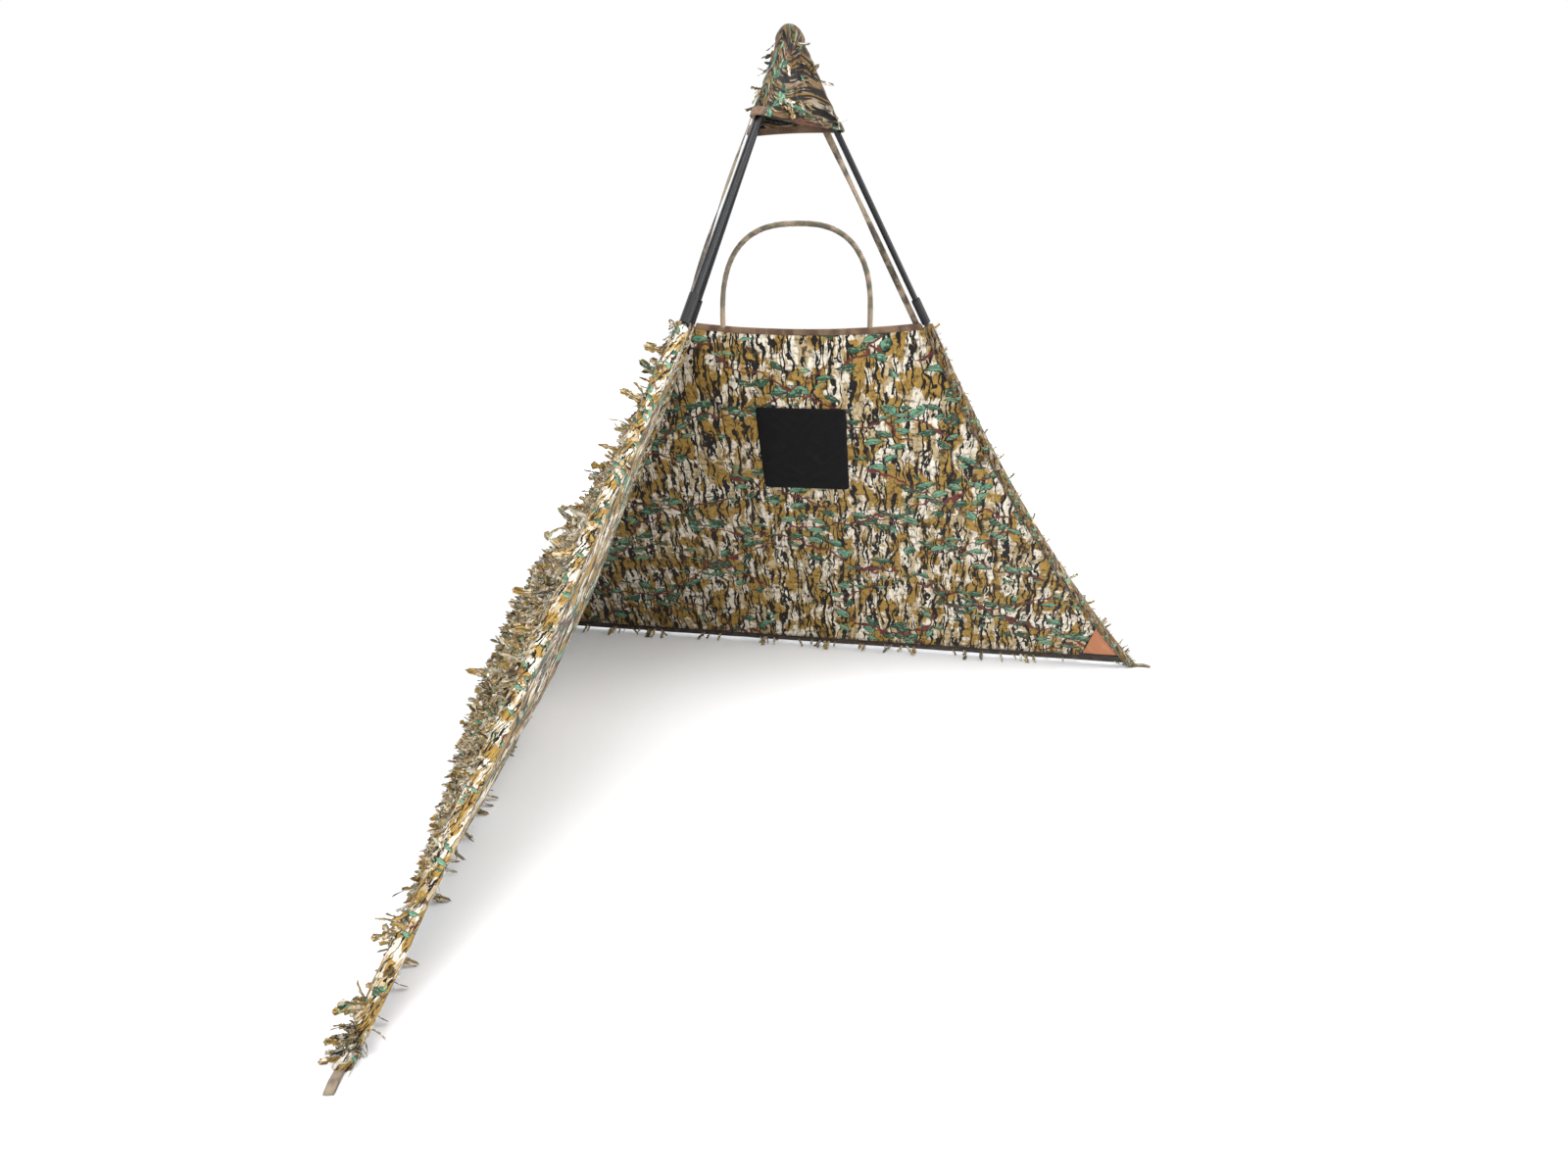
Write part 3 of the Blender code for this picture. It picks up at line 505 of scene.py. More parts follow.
def tape(name, light, dark, mottle=0.02):
    """Woven tape or webbing: fine ribs and a mottled dye."""
    paint = Paint(name, Sheen_Weight=0.15, Specular_IOR_Level=0.25)
    at = paint.cloth()
    patch = paint.ramp(paint.noise(at, (mottle, mottle, 1), 3.0, 2.0), 0.38, 0.62)
    colour = paint.mix(patch, light, dark)
    ribs = paint.split(at, 0) * (math.tau / TAPE_RIB)
    rib = ribs.sum("SINE", ribs) * 0.5 + 0.5
    colour = paint.mix(rib * 0.10, colour, INK)
    height = rib + paint.noise(at, (0.004, 0.004, 1), 2.0, 4.0) * 1.5
    paint.feed(Base_Color=colour, Roughness=0.8 - 0.1 * rib, Normal=paint.bump(height, 0.45, 0.0006))
    return paint.material


def moulded(name, colour, worn, rough, **constants):
    """Moulded, drawn or turned stuff on object coordinates: fine grain, smudges and rubbed spots."""
    paint = Paint(name, **constants)
    at = paint.object()
    smudge = paint.noise(at, (MOULD_SPECK * 9,) * 3, 3.0)
    grain = paint.noise(at, (MOULD_SPECK / 4,) * 3, 2.0, 6.0)
    paint.feed(
        Base_Color=paint.mix(paint.ramp(smudge, 0.45, 0.75) * 0.5, colour, worn),
        Roughness=rough + 0.22 * (smudge - 0.5) + 0.10 * (grain - 0.5),
        Normal=paint.bump(grain, 0.12, 0.0004),
    )
    return paint.material


def graphite_finish():
    """Drawn fibre pole: a dark skin with a faint spiral wrap."""
    paint = Paint("graphite_pole", Specular_IOR_Level=0.28)
    at = paint.cloth()
    wrap = (paint.split(at, 0) * 60 + paint.split(at, 1) * 40).wrap()
    band = paint.ramp(abs(wrap - 0.5), 0.1, 0.4)
    smudge = paint.noise(at, (0.02, 0.15, 1), 3.0)
    colour = paint.mix(band * 0.5, linear("0E0F11"), linear("17181B"))
    colour = paint.mix(paint.ramp(smudge, 0.5, 0.8) * 0.4, colour, linear("2A2C2F"))
    paint.feed(Base_Color=colour, Roughness=0.2 + 0.2 * smudge, Normal=paint.bump(band, 0.08, 0.0004))
    return paint.material


def coated_finish(name, colour, painted_sheen, size, shine=0.35):
    """Coated cloth: a close weave under a thin skin, with soft slanting creases and a painted sheen on their
    ridges and in soft clouds.
    """
    paint = Paint(name, Specular_IOR_Level=shine)
    at = paint.cloth()
    slant = paint.node("VectorRotate", {"rotation_type": "Z_AXIS"}, {"Vector": at, "Angle": -0.9})
    crease = paint.noise(slant, (size, size * 6, 1), 2.0, 4.0)
    cloud = paint.noise(at, (0.03, 0.03, 1), 3.0, 8.0)
    # Painted sheen: lighter colour on the crease ridges and in soft clouds.
    tint = paint.mix(paint.ramp(crease, 0.55, 0.8) * 0.6, colour, painted_sheen)
    tint = paint.mix(paint.ramp(cloud, 0.4, 0.8) * 0.3, tint, painted_sheen)
    height = crease + weave(paint, at, COATED_THREAD) * 0.05
    paint.feed(Base_Color=tint, Roughness=0.42 + 0.25 * cloud, Normal=paint.bump(height, 0.5, 0.003))
    return paint.material


MERGE_GAP = 0.00002  # points closer than this become one
LINING = printed_cloth("printed_lining", pucker=0.8, crease_shading=0.7, coarse=1.45)
LEAF_CLOTH = printed_cloth("leaf_cloth", pucker=0.5, coarse=1.3)
SLEEVE_CLOTH = printed_cloth("sleeve_cloth", leafy=0.6, pucker=0.6, tone_and_shade=0.05, bold=0.8)
# Darker copy of the sleeve cloth, with painted shade, for the right sleeve.
SHADED_EDGE_CLOTH = printed_cloth("shaded_sleeve_cloth", leafy=0.6, pucker=0.6, tone_and_shade=0.8)
HOOD_CLOTH = printed_cloth("hood_cloth", leafy=0.56, pucker=0.7, tone_and_shade=0.85, crease_shading=1.0, bold=1.6)
FLAP_CLOTH = printed_cloth("leaf_cut_flaps", toned=0.3, pucker=0.4, bold=1.4)
BINDING = tape("brown_binding", linear("816853"), linear("5A4536"), 0.03)
HEM_BINDING = tape("dark_binding", linear("463830"), linear("2A211C"), 0.03)
WEBBING = tape("tan_webbing", linear("9A8A76"), linear("75675A"), 0.02)
STRAP_CLOTH = tape("mottled_strap", linear("8C7C68"), linear("3B342C"), 0.035)
TUBE_CLOTH = tape("mottled_tube", linear("978470"), linear("5B584A"), 0.035)
STRIP = tape("black_strip", linear("242021"), linear("151314"))
# The second colour of each coated cloth is its painted sheen.
POCKET = coated_finish("tan_pocket", linear("B0724E"), linear("C48A64"), 0.02)
PATCH = coated_finish("black_patch", linear("09090B"), linear("18181D"), 0.014, 0.12)
GRAPHITE = graphite_finish()
MOULDING = moulded("black_moulding", linear("101012"), linear("222225"), 0.5, Specular_IOR_Level=0.3)
STEEL = moulded("pin_steel", linear("B4B4B6"), linear("8A8A8C"), 0.32, Metallic=1.0)
RUBBER = moulded("foot_rubber", linear("262626"), linear("3C3A36"), 0.78)
POLE_SKIN = moulded("lower_pole_skin", linear("28292C"), linear("47494C"), 0.36)


def put(name, content):
    """Object in the scene that holds a mesh, lamp or camera."""
    made = bpy.data.objects.new(name, content)
    bpy.context.scene.collection.objects.link(made)
    return made


def add(name, bm, material, smooth=True):
    mesh = bpy.data.meshes.new(name)
    bm.to_mesh(mesh)
    bm.free()
    if smooth:
        mesh.shade_smooth()
    mesh.materials.append(material)
    return put(name, mesh)


def settle(piece):
    """Makes a piece's modifiers part of its mesh."""
    bpy.context.view_layer.update()
    shape = piece.evaluated_get(bpy.context.evaluated_depsgraph_get())
    mesh = bpy.data.meshes.new_from_object(shape)
    piece.modifiers.clear()
    piece.data = mesh
    return piece


def thicken(piece, thickness):
    skin = piece.modifiers.new("cloth", "SOLIDIFY")
    skin.thickness = thickness
    skin.offset = 0
    return settle(piece)


def surface(name, grid, place, cloth, material, follow=None, closed=False, thickness=0.0):
    """Grid laid by place; cloth gives its print coordinates, and follow its share of a leg's turn."""
    bm = bmesh.new()
    bmesh.ops.create_grid(bm, x_segments=grid[0], y_segments=grid[1], size=0.5)
    shares = np.array([vert.co[:2] for vert in bm.verts]) + 0.5
    spots, prints = place(*shares.T), cloth(*shares.T)
    turns = follow(*shares.T) if follow else np.zeros(len(shares))
    layer = bm.loops.layers.uv.new("cloth")
    for face in bm.faces:
        for loop in face.loops:
            loop[layer].uv = prints[loop.vert.index]
    share_layer = bm.verts.layers.float.new("turn_share")
    for vert, spot, turn in zip(bm.verts, spots, turns):
        vert.co = spot
        vert[share_layer] = turn
    if closed:
        bmesh.ops.remove_doubles(bm, verts=bm.verts, dist=MERGE_GAP)
    bmesh.ops.recalc_face_normals(bm, faces=bm.faces)
    made = add(name, bm, material)
    return thicken(made, thickness) if thickness else made


def hang(piece, side):
    """Bakes the transform of a piece of a wall or the hood into its mesh; its points keep their stored shares
    of the front pole's turn.
    """
    mesh = piece.data
    shares = np.zeros(len(mesh.vertices), np.float32)
    mesh.attributes["turn_share"].data.foreach_get("value", shares)
    start, end = wall_row(side, np.array([0.5]))
    tuple(start[0])
    tuple(end[0])
    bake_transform(piece)
    return piece


def sweep(name, path, radius, grid, material, follow=None, hint=UP, slant=0.0, finer=1.0):
    """Tube along a path; radius takes shares of the way round and along, slant and finer set the print."""

    def place(around, along):
        points, ways = path(along)
        first = unit(np.cross(ways, np.broadcast_to(hint, ways.shape)))
        second = np.cross(ways, first)
        turn, size = math.tau * around, radius(around, along)
        size = size * np.sqrt(np.clip(from_ends(along) * grid[1] * 2, 0, 1))
        spots = points + column(size * np.cos(turn)) * first + column(size * np.sin(turn)) * second
        return np.maximum(spots, (-np.inf, -np.inf, FLOOR_CLEAR))

    def cloth(around, along):
        points = path(np.linspace(0, 1, 60))[0]
        length = np.linalg.norm(np.diff(points, axis=0), axis=1).sum()
        girth = math.tau * float(np.mean(radius(np.array([0.0, 0.5]), np.array([0.5, 0.5]))))
        spread = np.stack((around * girth, along * length), axis=-1) * finer
        return spread @ np.array(((math.cos(slant), math.sin(slant)), (-math.sin(slant), math.cos(slant))))

    turned = (lambda around, along: follow(along)) if follow else None
    return surface(name, grid, place, cloth, material, turned, closed=True)


def leaf_shape(lobes, curl, cup):
    """Leaf-cut flap of unit length along Y, from its half widths: its corner points and faces."""
    bm = bmesh.new()
    bmesh.ops.create_grid(bm, x_segments=2, y_segments=len(lobes) - 1, size=0.5)
    rows = len(lobes) - 1
    for vert in bm.verts:
        across, row = vert.co.x * 2, round((vert.co.y + 0.5) * rows)
        vert.co.x = across * lobes[row]
        vert.co.y = row / rows + 0.06 * abs(across) * (1 if row % 2 else -1)
        vert.co.z = curl * vert.co.y**2 + cup * across**2 * lobes[row]
    bm.verts.index_update()
    corners = np.array([vert.co for vert in bm.verts])
    faces = np.array([[vert.index for vert in face.verts] for face in bm.faces])
    bm.free()
    return corners, faces


LEAF_SHAPES = [
    leaf_shape((0.05, 0.19, 0.08, 0.23, 0.09, 0.20, 0.10), 0.22, -0.20),
    leaf_shape((0.06, 0.14, 0.22, 0.09, 0.19, 0.16, 0.06), 0.45, 0.25),
    leaf_shape((0.05, 0.21, 0.10, 0.20, 0.08, 0.17, 0.11), -0.18, 0.20),
    leaf_shape((0.06, 0.12, 0.20, 0.22, 0.17, 0.13, 0.05), 0.60, -0.30),
    leaf_shape((0.04, 0.07, 0.14, 0.06, 0.12, 0.05, 0.01), 0.35, 0.15),
]
TWIG_SHAPE = 4


def scatter(name, bases, tips, faces_out, sizes, turns, material, kinds=None, tones=(0.0, 1.0)):
    """Leaf-cut flaps sewn on at their bases, each with its own bit of the print."""
    count = len(bases)
    kinds = RNG.integers(0, len(LEAF_SHAPES), count) if kinds is None else np.asarray(kinds)
    tones, shifts = RNG.uniform(*tones, count), RNG.uniform(-9, 9, (count, 2))
    tips = unit(tips)
    sideways = unit(np.cross(tips, faces_out))
    normals = np.cross(sideways, tips)
    points, polygons, prints, tone, turn = [], [], [], [], []
    total = 0
    for kind, (corners, faces) in enumerate(LEAF_SHAPES):
        picked = np.flatnonzero(kinds == kind)
        x, y, z = (corners[:, axis][None, :, None] * sizes[picked][:, None, None] for axis in range(3))
        laid = bases[picked][:, None, :] + x * sideways[picked][:, None, :] + y * tips[picked][:, None, :]
        laid = laid + z * normals[picked][:, None, :]
        points.append(laid.reshape(-1, 3))
        starts = total + np.arange(len(picked))[:, None, None] * len(corners)
        polygons.append((faces[None] + starts).reshape(-1, faces.shape[1]))
        spread = corners[None, :, :2] * (FLAP_PRINT * sizes[picked])[:, None, None]
        prints.append((spread + shifts[picked][:, None, :]).reshape(-1, 2))
        tone.append(np.repeat(tones[picked], len(corners)))
        turn.append(np.repeat(turns[picked], len(corners)))
        total += len(picked) * len(corners)
    mesh = bpy.data.meshes.new(name)
    points, polygons = np.concatenate(points), np.concatenate(polygons)
    points[:, 2] = np.maximum(points[:, 2], FLOOR_CLEAR)
    mesh.from_pydata(points.tolist(), [], polygons.tolist())
    layer = mesh.uv_layers.new(name="cloth")
    layer.data.foreach_set("uv", np.concatenate(prints)[polygons.ravel()].astype(np.float32).ravel())
    for label, values in (("tone", tone), ("turn_share", turn)):
        mesh.attributes.new(label, "FLOAT", "POINT")
        mesh.attributes[label].data.foreach_set("value", np.concatenate(values).astype(np.float32))
    mesh.shade_smooth()
    mesh.materials.append(material)
    return put(name, mesh)


def place_camera():
    """Camera at the photograph's viewing angle."""
    lens = bpy.data.cameras.new("photo_camera")
    lens.sensor_width, lens.lens = SENSOR_MM, FOCAL_MM
    seer = put("photo_camera", lens)
    seer.location = Vector(MIDDLE) + Vector(CAMERA_OFF_MIDDLE)
    seer.rotation_euler = (CAMERA_TILT, 0, CAMERA_TURN)
    bpy.context.scene.camera = seer


def hang_lamps():
    for label, spot, size, power in LAMPS:
        lamp = bpy.data.lights.new(label, "AREA")
        lamp.size, lamp.energy = size, power
        aim = (Vector(spot) - Vector(LAMP_AIM)).to_track_quat("Z", "Y")
        put(label, lamp).matrix_world = Matrix.Translation(spot) @ aim.to_matrix().to_4x4()


def make_sky():
    """Even light all round, which the camera, gloss and glass see as white."""
    sky = bpy.data.worlds.new("studio")
    bpy.context.scene.world = sky
    sky.use_nodes = True
    tree = sky.node_tree
    shade = tree.nodes["Background"]
    shade.inputs["Color"].default_value = (1, 1, 1, 1)
    path = tree.nodes.new("ShaderNodeLightPath")
    seen = path.outputs["Is Camera Ray"]
    for ray in ("Is Glossy Ray", "Is Transmission Ray"):
        either = tree.nodes.new("ShaderNodeMath")
        either.operation = "MAXIMUM"
        tree.links.new(seen, either.inputs[0])
        tree.links.new(path.outputs[ray], either.inputs[1])
        seen = either.outputs[0]
    level = tree.nodes.new("ShaderNodeMapRange")
    level.inputs["To Min"].default_value = SKY_LEVEL
    level.inputs["To Max"].default_value = 1.0
    tree.links.new(seen, level.inputs["Value"])
    tree.links.new(level.outputs[0], shade.inputs["Strength"])


def make_floor():
    """Pale floor that keeps the shadow near the object and fades to white further off."""
    bm = bmesh.new()
    bmesh.ops.create_grid(bm, x_segments=2, y_segments=2, size=FLOOR_SIZE)
    bmesh.ops.translate(bm, verts=bm.verts, vec=(0, 0, -FLOOR_DROP))
    paint = Paint("white_floor", Roughness=0.9, Specular_IOR_Level=0.0)
    paint.shader.inputs["Base Color"].default_value = (0.85, 0.865, 0.90, 1)
    path = paint.tree.nodes.new("ShaderNodeLightPath")
    rays = [Wire(paint, path.outputs[f"Is {ray} Ray"]) for ray in ("Camera", "Glossy", "Transmission")]
    seen = rays[0].most(rays[1]).most(rays[2])
    off = paint.node("VectorMath", {"operation": "LENGTH"}, {0: paint.object()}, "Value")
    strength = 0.14 + 0.86 * paint.ramp(off, 1.3, 3.0)
    glow = paint.node("Emission", {}, {"Color": (1, 1, 1, 1), "Strength": strength})
    lit = paint.node("AddShader", {}, {0: Wire(paint, paint.shader.outputs[0]), 1: glow})
    plain = paint.node("BsdfDiffuse", {}, {"Color": (0.8, 0.8, 0.8, 1)})
    both = paint.node("MixShader", {}, {0: seen, 1: plain, 2: lit})
    out = paint.tree.nodes["Material Output"]
    paint.tree.links.new(both.socket, out.inputs["Surface"])
    ground = add("floor", bm, paint.material, smooth=False)


def lining_height(up):
    return between(LINING_LOW_Z, LINING_HIGH_Z, up)


def make_lining(side):
    """Printed inner cloth, finely puckered and a little slack."""

    def place(across, up):
        height = lining_height(up)
        points = wall(side, across, height)
        prints = wall_cloth(side, across, height)
        flat = np.column_stack((prints, np.zeros(len(prints))))
        held = np.clip(np.minimum(from_ends(across) * 14, from_ends(up) * 10), 0, 1)
        fine = ripple(flat * (1.0, 0.75, 1), 0.017, 3.0) * 0.0012 + ripple(flat, 0.034, 9.0) * 0.0014
        upright = ripple(flat * (1.0, 0.22, 1), 0.070, 5.0)
        folds = upright * 0.0030 + ripple(flat * (0.4, 1, 1), 0.16, 8.0) * 0.003
        return points + column((fine + folds) * held) * WALL_OUT[side]

    def cloth(across, up):
        return wall_cloth(side, across, lining_height(up)) * (LINING_DRAWN[side], 1)

    name = f"{side}_lining_cloth"
    made = surface(name, (170, 112), place, cloth, LINING, lambda across, up: across, thickness=LINING_THICK)
    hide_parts(f"{side}_lining")
    return hang(made, side)


def leaf_height(up):
    return between(HEM_CLEAR, WALL_TOP_Z - TOP_HEM / 2, up)


def leaf_point(side, across, up):
    """Points on the outer cloth, which puffs out from the lining."""
    puff = LEAF_PUFF * np.sin(math.pi * across) * 4 * up * (1 - up)
    return wall(side, across, leaf_height(up), LEAF_LIFT + puff, BILLOW)


def make_leaf_layer(side):
    """Outer cloth and the leaf-cut flaps that cover it."""

    def place(across, up):
        points = leaf_point(side, across, up)
        held = np.clip(from_ends(across) * 14, 0, 1)
        folds = ripple(points, 0.08, 4.0) * 0.004 + ripple(points, 0.03, 6.0) * 0.0015
        return points + column(folds * held) * WALL_OUT[side]

    def cloth(across, up):
        return wall_cloth(side, across, leaf_height(up)) + (4.0, 2.0)

    name = f"{side}_leaf_cloth"
    base = surface(name, (90, 60), place, cloth, LEAF_CLOTH, lambda across, up: across, thickness=LEAF_THICK)
    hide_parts(f"{side}_leaf_layer")
    spots = []
    for row in range(FLAP_ROWS):
        up = (row + RNG.random(FLAPS_PER_ROW)) / FLAP_ROWS
        across = (np.arange(FLAPS_PER_ROW) + RNG.random(FLAPS_PER_ROW)) / FLAPS_PER_ROW
        spots.append(np.stack((across, up), axis=-1))
    spots = np.concatenate(spots)
    height = between(HEM_CLEAR, WALL_TOP_Z, spots[:, 1])
    start, end = wall_row(side, height)
    width = np.linalg.norm(end - start, axis=-1)
    clear = (from_ends(spots[:, 0]) * width > FLAP_MARGIN) & (spots[:, 1] < FLAP_TOP)
    keep = (RNG.random(len(spots)) < width / width.max()) & clear
    spots, start, end, height = spots[keep], start[keep], end[keep], height[keep]
    near_front = np.interp(height, FULLNESS_Z, FRONT_FULLNESS)
    fullness = np.maximum(near_front, np.clip((0.75 - spots[:, 0]) * 2.5, 0, 0.9))
    bases = leaf_point(side, spots[:, 0], spots[:, 1] * 0.985 + 0.015) + WALL_OUT[side] * 0.001
    along = unit(end - start)
    down = np.cross(along, WALL_OUT[side])
    down = down * -np.sign(down[:, 2:3])
    turn = RNG.uniform(-2.7, 2.7, len(bases))
    sprig = RNG.random(len(bases)) < SPRIG_SHARE * np.clip((height - 0.3) / 0.4, 0.15, 1)
    lift = 0.1 + 1.0 * RNG.random(len(bases)) ** 2.4 * fullness
    lift = np.where(sprig, RNG.uniform(0.8, 1.3, len(bases)), lift)
    tips = column(np.cos(turn)) * down + column(np.sin(turn)) * along
    tips = column(np.cos(lift)) * tips + column(np.sin(lift)) * WALL_OUT[side]
    sizes = (0.012 + 0.022 * RNG.random(len(bases)) ** 1.8) * fullness
    sizes = np.where(sprig, RNG.uniform(0.030, 0.050, len(bases)), sizes)
    outs = WALL_OUT[side] + RNG.normal(0, 0.6, tips.shape)
    flaps = scatter(f"{side}_leaf_flaps", bases, tips, outs, sizes, spots[:, 0], FLAP_CLOTH)
    hang(base, side)
    hang(flaps, side)
    return base, flaps


def make_hem(side, label, low, high, half_thick, material):
    """Folded tape along a wall's edge."""
    middle, half = (low + high) / 2, (high - low) / 2

    def place(around, along):
        turn = math.tau * around
        height = middle + half * np.sign(np.sin(turn)) * np.abs(np.sin(turn)) ** 0.65
        wave = ripple(wall(side, along, np.full_like(along, middle)), 0.05, 2.0) * 0.0012
        lift = half_thick * np.sign(np.cos(turn)) * np.abs(np.cos(turn)) ** 0.7 + wave
        return wall(side, along, height, lift)

    def cloth(around, along):
        start, end = wall_row(side, np.array([middle]))
        return np.stack((along * np.linalg.norm(end - start), around * 4 * half), axis=-1)

    name = f"{side}_{label}_tape"
    made = surface(name, (14, 110), place, cloth, material, lambda around, along: along, closed=True)
    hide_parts(f"{side}_{label}")
    return hang(made, side)


def hem_fringe(side):
    """Leaf bits and twigs that hang from the bottom hem and lie out on the floor on both its sides."""
    count = FRINGE_COUNT
    across = RNG.uniform(0.01, 0.99, count)
    face = np.where(RNG.random(count) < 0.5, 1.0, -1.0)[:, None] * WALL_OUT[side]
    bases = wall(side, across, np.full(count, HEM_CLEAR + 0.010)) + face * 0.0035
    start, end = wall_row(side, np.full(count, HEM_CLEAR))
    along = unit(end - start)
    tips = face * RNG.uniform(0.4, 1.0, (count, 1)) + along * RNG.normal(0, 0.7, (count, 1)) - UP * 0.55
    sizes = RNG.uniform(0.018, 0.038, count)
    made = scatter(f"{side}_hem_leaves", bases, tips, face, sizes, across, FLAP_CLOTH)
    return hang(made, side)


def make_sleeve(leg):
    """Cloth channel round the bowed length of a pole, with slanting wrinkles and leaf-cut flaps."""
    low, high = SLEEVE_FOOT_Z, WALL_TOP_Z - SLEEVE_TOP_GAP

    def path(along):
        return pole_at(leg, between(high, low, along))

    def radius(around, along):
        turn = math.tau * around
        twist = np.sin(2 * turn + along * 150 + 3 * np.sin(along * 37)) * 0.0008
        lumps = ripple(np.column_stack((np.cos(turn), np.sin(turn), along * 50)), 0.9, 7.0) * 0.0012
        swell = 0.0012 * np.sin(along * 23) ** 2
        return SLEEVE_R + 0.0002 + (np.abs(twist) + np.abs(lumps) + swell) * SLEEVE_SLACK[leg]

    hint = OUT[leg] + UP * 0.001
    # The right sleeve takes the darker cloth with painted shade.
    cloth = SHADED_EDGE_CLOTH if leg == "right" else SLEEVE_CLOTH
    made = sweep(f"{leg}_sleeve_cloth", path, radius, (22, 190), cloth, hint=hint, slant=0.25, finer=1.6)
    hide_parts(f"{leg}_sleeve")
    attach(made, LEG_BODY[leg])
    outer = WALL_OUT[leg] if leg in SIDES else unit(WALL_OUT["left"] + WALL_OUT["right"])
    low_start = LOW_SPRIGS_FROM[leg]
    high_bunches = np.linspace(0.02, low_start, HIGH_SPRIGS)
    low_bunches = between(low_start, 0.95, RNG.choice(LOW_BUNCHES, LOW_SPRIGS))
    bunches = np.concatenate((high_bunches, low_bunches)) + RNG.normal(0, 0.009, HIGH_SPRIGS + LOW_SPRIGS)
    high_bunches, low_bunches = np.split(bunches, [HIGH_SPRIGS])
    nap_turns = (NAP_INNER_TURN[leg], 1.4)
    # Shares of the way down, turns from the outer side, how far a flap stands off, and its length's range
    spreads = {
        "nap": (
            RNG.uniform(0.0, 0.85, NAP_COUNT), RNG.uniform(*nap_turns, NAP_COUNT), 0.25, (0.014, 0.026),
        ),
        "sprigs": (high_bunches, RNG.uniform(0.3, 1.4, HIGH_SPRIGS), 1.0, (0.028, 0.046)),
        "low_sprigs": (low_bunches, RNG.uniform(0.2, 1.5, LOW_SPRIGS), 1.0, (0.018, 0.042)),
        "cuff": (
            RNG.uniform(0.945, 0.985, CUFF_COUNT), RNG.uniform(-1.8, 3.4, CUFF_COUNT), 0.7, (0.014, 0.030),
        ),
    }
    if leg == "left":
        spreads["inner_twigs"] = (INNER_TWIGS, np.full(len(INNER_TWIGS), -1.9), 1.0, (0.034, 0.044))
    for label, (spread, spin, stand, (shortest, longest)) in spreads.items():
        count, spin = len(spread), column(spin)
        points, ways = path(spread)
        edge = unit(np.cross(ways, outer))
        edge = edge * np.where(dot(edge, OUT[leg]) < 0, -1.0, 1.0)
        if leg == "corner":
            edge = edge * RNG.choice((-1.0, 1.0), (count, 1))
        face = np.cos(spin) * outer + np.sin(spin) * edge
        face = unit(face - ways * dot(face, ways))
        tips = face * stand + ways * (RNG.uniform(-0.5, 0.5, (count, 1)) + 1 - stand)
        tips = tips + RNG.normal(0, 0.15, (count, 3))
        fronts = (face if stand < 0.5 else outer + edge * 0.3) + RNG.normal(0, 0.3, tips.shape)
        sizes = RNG.uniform(shortest, longest, count) * SLEEVE_FLAP_LENGTH[leg]
        kinds = RNG.choice((0, 0, 2, 1, TWIG_SHAPE), count)
        bases = points + face * SLEEVE_R
        name = f"{leg}_sleeve_{label}"
        flaps = scatter(name, bases, tips, fronts, sizes, np.zeros(count), FLAP_CLOTH, kinds)
        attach(flaps, LEG_BODY[leg])


def make_upper_pole(leg):
    """Straight rod from the hub to the collar."""
    low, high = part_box(f"{leg}_pole_upper")
    inset = 0.003

    def path(along):
        return pole_at(leg, between(high[2] - inset, low[2] + inset, along))

    def radius(around, along):
        return np.full_like(around, POLE_R)

    made = sweep(f"{leg}_pole_rod", path, radius, (32, 40), GRAPHITE)
    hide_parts(f"{leg}_pole_upper")
    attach(made, LEG_BODY[leg])


def hood_ring(around):
    """Shares of the three legs and the turn for each share of the way round the hood."""
    order = ("right", "corner", "left")
    spots = np.asarray(around) % 1 * 3
    index = np.minimum(spots.astype(int), 2)
    inner = spots - index
    weights, turns = np.zeros((len(spots), 3)), np.zeros(len(spots))
    for k, leg in enumerate(order):
        here, after = AZIMUTH[leg], AZIMUTH[order[(k + 1) % 3]]
        before = AZIMUTH[order[k - 1]]
        first = here - ((here - before) % math.tau) / 2
        last = here + ((after - here) % math.tau) / 2
        mine = index == k
        bend = np.clip(inner / POLE_BEND, 0, 1)
        slide = np.clip((inner - POLE_BEND) / (1 - POLE_BEND), 0, 1)
        turns[mine] = between(first, last, bend)[mine]
        weights[mine, k] = (1 - slide)[mine]
        weights[mine, (k + 1) % 3] += slide[mine]
    return weights, turns, [OUT[leg] for leg in order]


def hood_point(around, height, grow=0.0):
    """Points on the hood, by the share of the way round and by height, grown outwards by some metres."""
    weights, turns, ways = hood_ring(around)
    level = np.minimum(height, HOOD_SHOULDER_Z)
    share = (level - HOOD_LOW_Z) / (HOOD_SHOULDER_Z - HOOD_LOW_Z)
    girth = between(HOOD_LOW_ROUND, HOOD_HIGH_ROUND, share) + grow
    reach = np.clip(APEX_Z - level, 0, None) * math.tan(TILT)
    round_way = np.stack((np.cos(turns), np.sin(turns), np.zeros_like(turns)), axis=-1)
    off_pole = 1 - (weights**2).sum(axis=1)
    slack = 0.012 * off_pole * 2 * (1 - share) ** 0.7
    spread = sum(weights[:, k : k + 1] * way for k, way in enumerate(ways)) * column(reach)
    spread = spread + round_way * column(girth - slack)
    length = np.linalg.norm(spread, axis=1)
    crown = CROWN_R * np.clip((height - CROWN_LOW_Z) / CROWN_RISE, 0, 1)
    spread = spread * column(np.maximum(length, crown) / np.clip(length, 0.001, None))
    over = np.clip((height - HOOD_SHOULDER_Z) / (HOOD_TOP_Z - HOOD_SHOULDER_Z), 0, 1)
    spread = spread * column(np.sqrt(np.clip(1 - over**2, 0, 1)))
    return MIDDLE + spread + column(height) * UP


def hood_share(around, height):
    """How far a spot on the hood follows the front pole beside it: not at a seam or above the hinge."""
    sideways = hood_ring(around)[0][:, [0, 2]].max(axis=1)
    share = np.where(np.asarray(around) % 1 > FRONT_START, 2 * sideways - 1, sideways)
    loose = np.clip((FOLD_Z - height) / FOLD_REACH, 0, 1)
    return share * loose * loose * (3 - 2 * loose)


